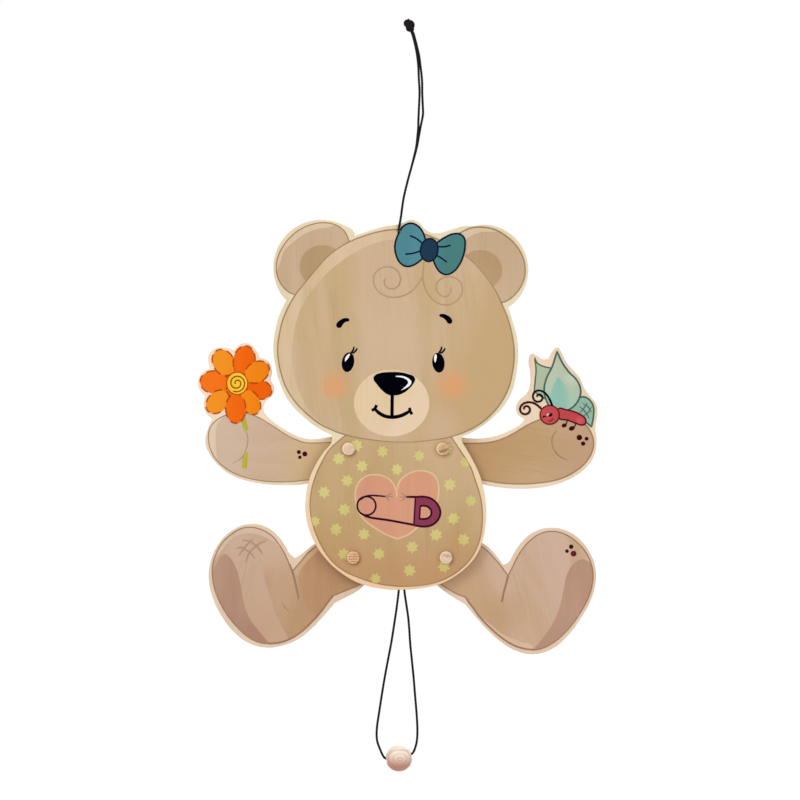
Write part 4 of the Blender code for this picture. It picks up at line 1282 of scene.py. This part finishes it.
def make_body(line_ink):
    """The printed body: stars, and a heart with a safety pin across it."""
    holes = board_holes("front_board")[1:]
    # Painted shade in a ring round each peg's head, and a painted shadow below and to the right of it, where the head
    # would cast one
    shade = (178, 138, 98)
    shadow = (138, 100, 64)
    pegs = [(NAIL_PIXEL[0] + x / PIXEL, NAIL_PIXEL[1] - z / PIXEL) for x, z, radius in holes]
    olive = printed("body_print", (196, 165, 120), (189, 158, 108), 1.0, 0.0,
                    fades=[((187, 140, 98), (395, 500), (395, 586), 0.75),
                           ((204, 174, 140), (395, 490), (440, 440), 0.6)],
                    spots=[(shade, peg, 13, 0.6) for peg in pegs]
                    + [(shadow, (x + 1.6, y + 1.5), 9.6, 0.9) for x, y in pegs])
    drill(plate("body_print", [BODY], BOARD, 1, olive), holes)
    line("body_line", [BODY], 1.2, BOARD, 1, line_ink, closed=True)
    lime = printed("star_lime", (213, 200, 128), (203, 193, 115), 0.8,
                   fades=[((200, 180, 106), (395, 500), (395, 580), 0.7)])
    stars = plate("stars", [star(*place) for place in STARS], BOARD, 2, lime, steps=1)
    drill(stars, holes)
    trim(stars, BODY)
    tan = printed("star_tan", (214, 188, 142), (204, 178, 130), 0.8)
    rim = printed("star_line", (172, 136, 92), (162, 126, 84), 0.3)
    drill(plate("pale_star", [star(*PALE_STAR)], BOARD, 2, tan, steps=1), holes)
    drill(line("pale_star_line", [star(*PALE_STAR)], 0.9, BOARD, 2, rim, closed=True, steps=1),
          holes)

    salmon = printed("heart_salmon", (215, 153, 122), (209, 146, 119), 0.8)
    pale = printed("heart_line", (226, 190, 148), (220, 184, 140), 0.6)
    plate("heart", [HEART], BOARD, 3, salmon)
    line("heart_outline", [HEART], 2.0, BOARD, 3, pale, closed=True)
    line("heart_stem", [HEART_STEM], 2.0, BOARD, 3, pale)
    purple = printed("pin_purple", (136, 56, 80), (126, 48, 72), 0.4, gloss=0.06)
    plum = printed("pin_line", (60, 12, 38), (48, 8, 32), 0.2, gloss=0.0)
    grey = printed("thread_ink", (150, 128, 110), (140, 116, 98), 0.2)
    plate("pin_clasp", [CLASP, CLASP_HOLE], BOARD, 4, purple)
    line("pin_clasp_outline", [CLASP, CLASP_HOLE], 2.0, BOARD, 4, plum, closed=True)
    line("pin_wires", PIN_WIRES, 2.2, BOARD, 4, plum)
    line("pin_ring", [ellipse(*PIN_RING, PIN_RING[2])], 1.8, BOARD, 4, plum, closed=True)
    line("pin_threads", PIN_STRANDS, 0.8, BOARD, 4, grey)


def make_left_arm(line_ink, soft_ink, dot_ink):
    """The arm at the left, whose hand holds the flower."""
    board = LIMBS["left_arm"]
    skin = printed("left_arm_print", (208, 178, 153), (202, 172, 144), 0.9, math.radians(80),
                   fades=[((206, 176, 128), (262, 460), (325, 462), 0.9),
                          ((206, 180, 158), (262, 440), (225, 440), 0.8)])
    light = printed("left_hand_light", (224, 203, 178), (220, 197, 172))
    plate("left_arm_print", [LEFT_ARM], board, 1, skin)
    plate("left_hand_light", [LEFT_HAND_LIGHT], board, 2, light)
    line("left_arm_line", [LEFT_ARM], 0.95, board, 2, line_ink, closed=True)
    line("left_thumb", [LEFT_THUMB], 1.0, board, 2, soft_ink)
    plate("left_arm_dots", [ellipse(x, y, r, r) for x, y, r in LEFT_ARM_DOTS], board, 3, dot_ink)

    green = printed("stem_green", (188, 182, 44), (178, 172, 36), 0.5)
    line("flower_stem", [STEM_UPPER, STEM_LOWER], 4.4, board, 2, green)
    deep = printed("petal_deep", (240, 100, 8), (236, 95, 5), 0.4,
                   fades=[((242, 115, 24), (256, 385), (210, 382), 1.0)], gloss=0.04)
    light = printed("petal_light", (244, 136, 20), (240, 130, 15), 0.4,
                    fades=[((240, 144, 34), (256, 385), (215, 382), 1.0)], gloss=0.04)
    inks = {"deep": deep, "light": light}
    rust = printed("petal_line", (186, 78, 14), (176, 72, 12), 0.3, gloss=0.04)
    x, y, half_wide, half_tall = FLOWER_DISC
    plate("flower_bed", [ellipse(x, y, half_wide + 5, half_tall + 5)], board, 2, inks["deep"])
    for number, (ink, x, y, half_wide, half_long, turn) in enumerate(PETALS, start=1):
        ring = ellipse(x, y, half_wide, half_long, turn, 16)
        level = 2 + number
        plate(f"petal_{number}", [ring], board, level, inks[ink])
        dashes = []
        for start in range(0, 48, 8):
            angles = [math.tau * (start + step) / 48 for step in range(6)]
            lean = math.radians(turn)
            dashes.append([(x + half_wide * math.cos(a) * math.cos(lean)
                            + half_long * math.sin(a) * math.sin(lean),
                            y + half_wide * math.cos(a) * math.sin(lean)
                            - half_long * math.sin(a) * math.cos(lean)) for a in angles])
        line(f"petal_line_{number}", dashes, 1.35, board, level, rust)
    yellow = printed("disc_yellow", (254, 204, 66), (250, 194, 54), 0.5, gloss=0.04)
    amber = printed("disc_line", (156, 92, 18), (146, 84, 14), 0.3, gloss=0.0)
    x, y, half_wide, half_tall = FLOWER_DISC
    top = len(PETALS) + 3
    plate("flower_disc", [ellipse(x, y, half_wide, half_tall)], board, top, yellow)
    line("flower_ring", [ellipse(x, y, half_wide - 0.4, half_tall - 0.4)], 0.9, board, top, rust,
         closed=True)
    line("flower_spiral", [spiral(x - 0.4, y - 0.2, 1.1, 8.9, 150, 1.9)], 1.4, board, top, amber)


def make_right_arm(line_ink, dot_ink):
    """The arm at the right, with the butterfly on its hand."""
    board = LIMBS["right_arm"]
    skin = printed("right_arm_print", (200, 166, 128), (192, 156, 112), 1.0, math.radians(80),
                   fades=[((190, 153, 124), (530, 450), (588, 448), 0.8),
                          ((186, 146, 100), (540, 470), (480, 462), 0.7)])
    plate("right_arm_print", [RIGHT_ARM], board, 1, skin)
    line("right_arm_line", [RIGHT_ARM], 1.4, board, 1, line_ink, closed=True)
    line("right_thumb", [RIGHT_THUMB], 1.25, board, 1, line_ink)
    plate("right_arm_dots", [ellipse(x, y, r, r) for x, y, r in RIGHT_ARM_DOTS], board, 2, dot_ink)

    low_mint = ((158, 194, 172), (562, 380), (560, 410), 0.9)
    mint = printed("wing_mint", (188, 200, 176), (180, 194, 168), 0.6, fades=[low_mint],
                   spots=[((196, 205, 186), (572, 378), 10, 0.7)])
    aqua = printed("wing_glow", (148, 193, 176), (140, 188, 170), 0.5,
                   fades=[((172, 197, 174), (561, 390), (573, 388), 1.0)])
    sage = printed("back_wing_sage", (176, 188, 160), (168, 180, 152), 0.6)
    side = printed("side_wing_mint", (150, 186, 166), (143, 180, 160), 0.5)
    vein = printed("wing_line", (76, 108, 98), (68, 98, 88), 0.3, gloss=0.0)
    lattice = printed("lattice_line", (92, 124, 108), (86, 118, 102), 0.3, gloss=0.0)
    plate("back_wing", [BACK_WING], board, 2, sage)
    line("back_wing_line", [BACK_WING], 1.4, board, 2, vein, closed=True)
    plate("side_wing", [SIDE_WING], board, 3, side)
    line("side_wing_line", [SIDE_WING], 1.65, board, 3, vein, closed=True)
    line("side_wing_lattice", LATTICE, 1.4, board, 3, lattice)
    plate("big_wing", [BIG_WING], board, 4, mint)
    plate("wing_glow", [WING_GLOW], board, 5, aqua)
    line("big_wing_line", [BIG_WING], 1.7, board, 5, vein, closed=True)

    red = printed("butterfly_red", (196, 76, 80), (188, 70, 74), 0.4,
                  spots=[((212, 88, 98), (580, 421), 6, 0.8)], gloss=0.06)
    maroon = printed("butterfly_line", (104, 18, 26), (92, 14, 24), 0.3, gloss=0.0)
    dark = printed("antenna_ink", (24, 8, 10), (16, 6, 8), 0.2, gloss=0.0)
    brown = printed("antenna_brown", (62, 20, 16), (54, 16, 14), 0.2, gloss=0.0)
    rose = printed("eye_glint", (236, 188, 190), (228, 176, 180), 0.2, gloss=0.0)
    plate("butterfly_body", [BUTTERFLY_BODY], board, 6, red)
    line("butterfly_body_line", [BUTTERFLY_BODY], 1.5, board, 6, maroon, closed=True)
    line("butterfly_legs", BUTTERFLY_LEGS, 1.1, board, 6, brown)
    feet = [ellipse(x, y, wide, tall, -20) for x, y, wide, tall in BUTTERFLY_FEET]
    plate("butterfly_feet", feet, board, 6, brown)
    head = ellipse(550, 414.9, 9.6, 9.4)
    plate("butterfly_head", [head], board, 7, red)
    line("butterfly_head_line", [head], 1.25, board, 7, maroon, closed=True)
    line("butterfly_antenna_black", [ANTENNA_BLACK], 1.95, board, 7, dark)
    line("butterfly_antenna_brown", [ANTENNA_BROWN], 2.1, board, 7, brown)
    plate("butterfly_eye", [ellipse(550.8, 415, 2.3, 1.5, -30)], board, 8, dark)
    plate("butterfly_glint", [ellipse(548.2, 414.6, 1.5, 0.9, -30)], board, 9, rose)
    line("butterfly_wink", BUTTERFLY_WINK, 1.3, board, 8, dark)
    line("butterfly_smile", [BUTTERFLY_SMILE], 1.0, board, 8, maroon)


def make_legs():
    """Both legs, with their darker soles and lighter sides."""
    leg_ink = printed("leg_line", (164, 128, 98), (154, 116, 88), 0.3)
    faint = printed("leg_faint_line", (180, 145, 120), (170, 134, 110), 0.3)
    board = LIMBS["left_leg"]
    skin = printed("left_leg_print", (204, 172, 148), (198, 165, 137), 1.0, math.radians(-14),
                   fades=[((194, 157, 128), (255, 575), (268, 625), 0.7)],
                   spots=[((200, 165, 124), (303, 566), 34, 1.0)])
    sole = printed("left_sole_print", (184, 146, 122), (176, 135, 113), 1.0,
                   fades=[((170, 129, 108), (235, 600), (252, 634), 1.0)])
    light = printed("left_foot_light", (215, 188, 164), (210, 183, 158), 1.0, 0.0,
                    fades=[((209, 183, 156), (240, 535), (270, 540), 1.0)])
    wood = printed("left_foot_wood", (195, 159, 126), (189, 151, 116), 1.0, math.radians(-14),
                   fades=[((201, 169, 143), (268, 588), (262, 552), 1.0),
                          ((183, 143, 107), (275, 600), (303, 620), 0.8)])
    thigh = printed("left_thigh_print", (190, 148, 111), (184, 140, 103), 1.0)
    plate("left_leg_print", [LEFT_LEG], board, 1, skin)
    plate("left_foot_wood", [LEFT_FOOT_WOOD], board, 2, wood)
    plate("left_sole", [LEFT_SOLE], board, 3, sole)
    plate("left_foot_light", [LEFT_FOOT_LIGHT], board, 3, light)
    plate("left_thigh", [LEFT_THIGH_DARK], board, 3, thigh)
    line("left_leg_line", [LEFT_LEG], 1.1, board, 3, leg_ink, closed=True)
    line("left_leg_low_line", [LEFT_LEG[14:22]], 1.7, board, 3, leg_ink)
    line("left_foot_line", [FOOT_LINE_LEFT], 2.0, board, 3, leg_ink)
    line("left_foot_hatching", HATCHING, 1.4, board, 3, faint)
    line("left_foot_crease", [FOOT_CREASE], 1.3, board, 3, faint)

    board = LIMBS["right_leg"]
    skin = printed("right_leg_print", (207, 174, 152), (199, 165, 132), 1.0, math.radians(14),
                   fades=[((196, 158, 120), (500, 560), (462, 572), 0.6)],
                   spots=[((188, 152, 114), (500, 616), 34, 0.7)])
    sole = printed("right_sole_print", (190, 151, 128), (182, 142, 118), 1.0,
                   fades=[((178, 139, 120), (560, 600), (548, 640), 0.8)])
    light = printed("right_foot_light", (224, 188, 158), (218, 182, 152))
    plate("right_leg_print", [RIGHT_LEG], board, 1, skin)
    plate("right_sole", [RIGHT_SOLE], board, 2, sole)
    plate("right_foot_light", [RIGHT_FOOT_LIGHT], board, 2, light)
    line("right_leg_line", [RIGHT_LEG], 1.1, board, 2, leg_ink, closed=True)
    line("right_leg_low_line", [RIGHT_LEG[29:38]], 1.7, board, 2, leg_ink)
    line("right_foot_line", [FOOT_LINE_RIGHT], 1.9, board, 2, leg_ink)
    small = printed("dot_brown", (62, 30, 26), (50, 22, 20), 0.2, gloss=0.0)
    plum = printed("dot_plum", (112, 38, 60), (100, 32, 52), 0.2, gloss=0.0)
    dots = [ellipse(x, y, r, r) for x, y, r in RIGHT_LEG_DOTS]
    plate("right_leg_dots", dots[:2], board, 2, small)
    plate("right_leg_large_dot", dots[2:], board, 2, plum)


# Pegs and bead

PEG_HEAD_R = 3.8 * MM
PEG_HEAD_PROUD = 2.4 * MM
PEG_RIM = 0.9 * MM
FIT_GAP = 0.3 * MM
SHANK_R = 2.0 * MM
SHANK_CHAMFER = 0.3 * MM
CAP_EDGE = 0.6 * MM
BEAD_BORE_R = 2.0 * MM
BEAD_MOUTH = 0.5 * MM
BEAD_LEAN = math.radians(10)

# Finish of each peg's head: tint, deeper tint, colour and share of its lines, turn of its
# grain, scale and phase of the wave that gives the lines, and colour of its pale rim, wear with a painted highlight
PEG_LOOKS = {
    "left_arm": ((224, 194, 170), (214, 182, 156), (190, 150, 116), 0.0, 0.3, 60.0, 0.0,
                 (252, 224, 186)),
    "right_arm": ((210, 174, 132), (190, 152, 108), (132, 94, 60), 0.75, -0.35, 52.0, 4.4,
                  (248, 216, 170)),
    "left_leg": ((226, 180, 140), (210, 160, 120), (156, 106, 72), 0.9, 0.0, 215.0, 0.6,
                 (240, 200, 158)),
    "right_leg": ((230, 198, 174), (216, 184, 158), (150, 120, 98), 0.4, 0.1, 52.0, 1.6,
                  (242, 214, 184)),
}


def make_pegs():
    """Each limb's peg with its domed head, its washer and the cap behind the limb."""
    facing = (math.radians(90), 0, 0)
    for name, look in PEG_LOOKS.items():
        low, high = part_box(name + "_peg")
        x, z = (low.x + high.x) / 2, (low.z + high.z) / 2
        wood = dowel_wood(name + "_dowel", (x, z), look)
        front = -low.y - PEG_HEAD_PROUD
        end = -high.y
        dome = PEG_HEAD_PROUD - PEG_RIM
        profile = [(0, -low.y)]
        for step in range(1, 12):
            angle = math.radians(90 * step / 12)
            profile.append((PEG_HEAD_R * math.sin(angle), front + PEG_RIM + dome * math.cos(angle)))
        profile += [(PEG_HEAD_R, front + PEG_RIM), (PEG_HEAD_R, front), (SHANK_R, front),
                    (SHANK_R, end + SHANK_CHAMFER), (SHANK_R - SHANK_CHAMFER, end), (0, end)]
        peg = turned(name + "_dowel_peg", profile, (x, 0, z), facing, "board", "turned_wood", wood)
        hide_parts(name + "_peg")

        for kind in ("washer", "cap"):
            low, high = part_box(f"{name}_{kind}")
            radius = (high.x - low.x) / 2
            bore = SHANK_R + FIT_GAP
            front_edge = FIT_GAP if kind == "washer" else 0.15 * MM
            back_edge = FIT_GAP if kind == "washer" else CAP_EDGE
            profile = [(bore, -low.y), (radius - front_edge, -low.y)]
            for centre, edge, first in ((-low.y - front_edge, front_edge, 90),
                                        (-high.y + back_edge, back_edge, 0)):
                for step in range(5):
                    angle = math.radians(first - 90 * step / 4)
                    profile.append((radius - edge * (1 - math.cos(angle)),
                                    centre + edge * math.sin(angle)))
            profile.append((bore, -high.y))
            ring = turned(f"{name}_turned_{kind}", profile, (x, 0, z), facing, "board",
                          "turned_wood", wood)
            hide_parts(f"{name}_{kind}")


def make_bead():
    """The bead on the pull loop, with its leaning bore."""
    low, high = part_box("pull_bead")
    centre = (low + high) / 2
    radius = (high.y - low.y) / 2
    mouth = BEAD_MOUTH
    bottom = math.asin((BEAD_BORE_R + mouth) / radius)
    profile = []
    for step in range(41):
        angle = bottom + (math.pi - 2 * bottom) * step / 40
        profile.append((radius * math.sin(angle), radius * math.cos(angle)))
    inner = radius * math.cos(bottom) - mouth
    profile += [(BEAD_BORE_R + 0.2 * mouth, -inner - 0.5 * mouth), (BEAD_BORE_R, -inner),
                (BEAD_BORE_R, inner), (BEAD_BORE_R + 0.2 * mouth, inner + 0.5 * mouth)]
    turn = (0, math.radians(90) - BEAD_LEAN, 0)
    piece = turned("bead", profile, centre, turn, "bead", "bead_wood",
                   bead_wood("bead_wood", centre), 72)
    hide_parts("pull_bead")


# Camera, light and floor

LENS = 200                    # long, because the photograph shows the boards nearly flat
SENSOR = 36
FLOOR_Z = -0.75
FLOOR_HALF = 12.0
FLOOR_GLOW = 0.44             # what brings the floor, as the camera sees it, up to white
WORLD_LEVEL = 0.72


def add_lamp(name, place, aim, size, power):
    data = bpy.data.lights.new(name, "AREA")
    data.shape = "DISK"
    data.size = size
    data.energy = power
    lamp = bpy.data.objects.new(name, data)
    bpy.context.scene.collection.objects.link(lamp)
    lamp.location = place
    lamp.rotation_euler = (Vector(aim) - Vector(place)).to_track_quat("-Z", "Y").to_euler()


def set_stage():
    """Camera, soft lamps, an even pale world and a floor below the toy."""
    scene = bpy.context.scene
    scene.view_settings.view_transform = "Standard"
    centre_x, centre_z = spot(PICTURE / 2, PICTURE / 2)
    data = bpy.data.cameras.new("camera")
    data.lens = LENS
    data.sensor_width = SENSOR
    data.clip_end = 100
    camera = bpy.data.objects.new("camera", data)
    scene.collection.objects.link(camera)
    distance = PICTURE * PIXEL * LENS / SENSOR
    camera.location = (centre_x, BOARD_FACE - distance, centre_z)
    camera.rotation_euler = (math.radians(90), 0, 0)
    scene.camera = camera

    aim = (centre_x, 0, centre_z)
    add_lamp("key", (-0.9, -1.3, 0.7), aim, 0.9, 9.0)
    add_lamp("fill", (1.2, -1.2, 0.1), aim, 1.2, 5.0)
    add_lamp("back", (0.3, 1.5, 0.5), aim, 1.2, 9.0)

    world = bpy.data.worlds.new("studio")
    scene.world = world
    world.use_nodes = True
    tree = world.node_tree
    background = tree.nodes["Background"]
    background.inputs["Color"].default_value = (1, 1, 1, 1)
    path = add_node(tree, "LightPath")
    seen = math_node(tree, "MAXIMUM", path.outputs["Is Camera Ray"], path.outputs["Is Glossy Ray"])
    seen = math_node(tree, "MAXIMUM", seen, path.outputs["Is Transmission Ray"])
    wire(tree, ranged(tree, seen, 0.0, 1.0, WORLD_LEVEL, 1.0, smooth=False),
         background.inputs["Strength"])

    bpy.ops.mesh.primitive_plane_add(size=2 * FLOOR_HALF, location=(centre_x, 0, FLOOR_Z))
    floor = bpy.context.object
    floor.name = "floor"
    made, tree, surface = new_material("floor_paper", 0.0)
    surface.inputs["Base Color"].default_value = (0.8, 0.8, 0.8, 1)
    surface.inputs["Roughness"].default_value = 0.95
    surface.inputs["Emission Color"].default_value = (1, 1, 1, 1)
    path = add_node(tree, "LightPath")
    seen = math_node(tree, "MAXIMUM", path.outputs["Is Camera Ray"], path.outputs["Is Glossy Ray"])
    seen = math_node(tree, "MAXIMUM", seen, path.outputs["Is Transmission Ray"])
    wire(tree, math_node(tree, "MULTIPLY", seen, FLOOR_GLOW), surface.inputs["Emission Strength"])
    floor.data.materials.append(made)
    deselect()


set_stage()
make_cords(cord_fibre("braided_black"))
line_ink = printed("brown_line", (166, 134, 98), (156, 122, 86), 0.3)
soft_ink = printed("soft_brown_line", (184, 153, 120), (176, 145, 111), 0.3)
dot_ink = printed("dot_maroon", (78, 14, 22), (64, 10, 18), 0.2, gloss=0.0)
make_boards()
make_head(line_ink, soft_ink)
make_bow()
make_body(line_ink)
make_left_arm(line_ink, soft_ink, dot_ink)
make_right_arm(line_ink, dot_ink)
make_legs()
make_pegs()
make_bead()
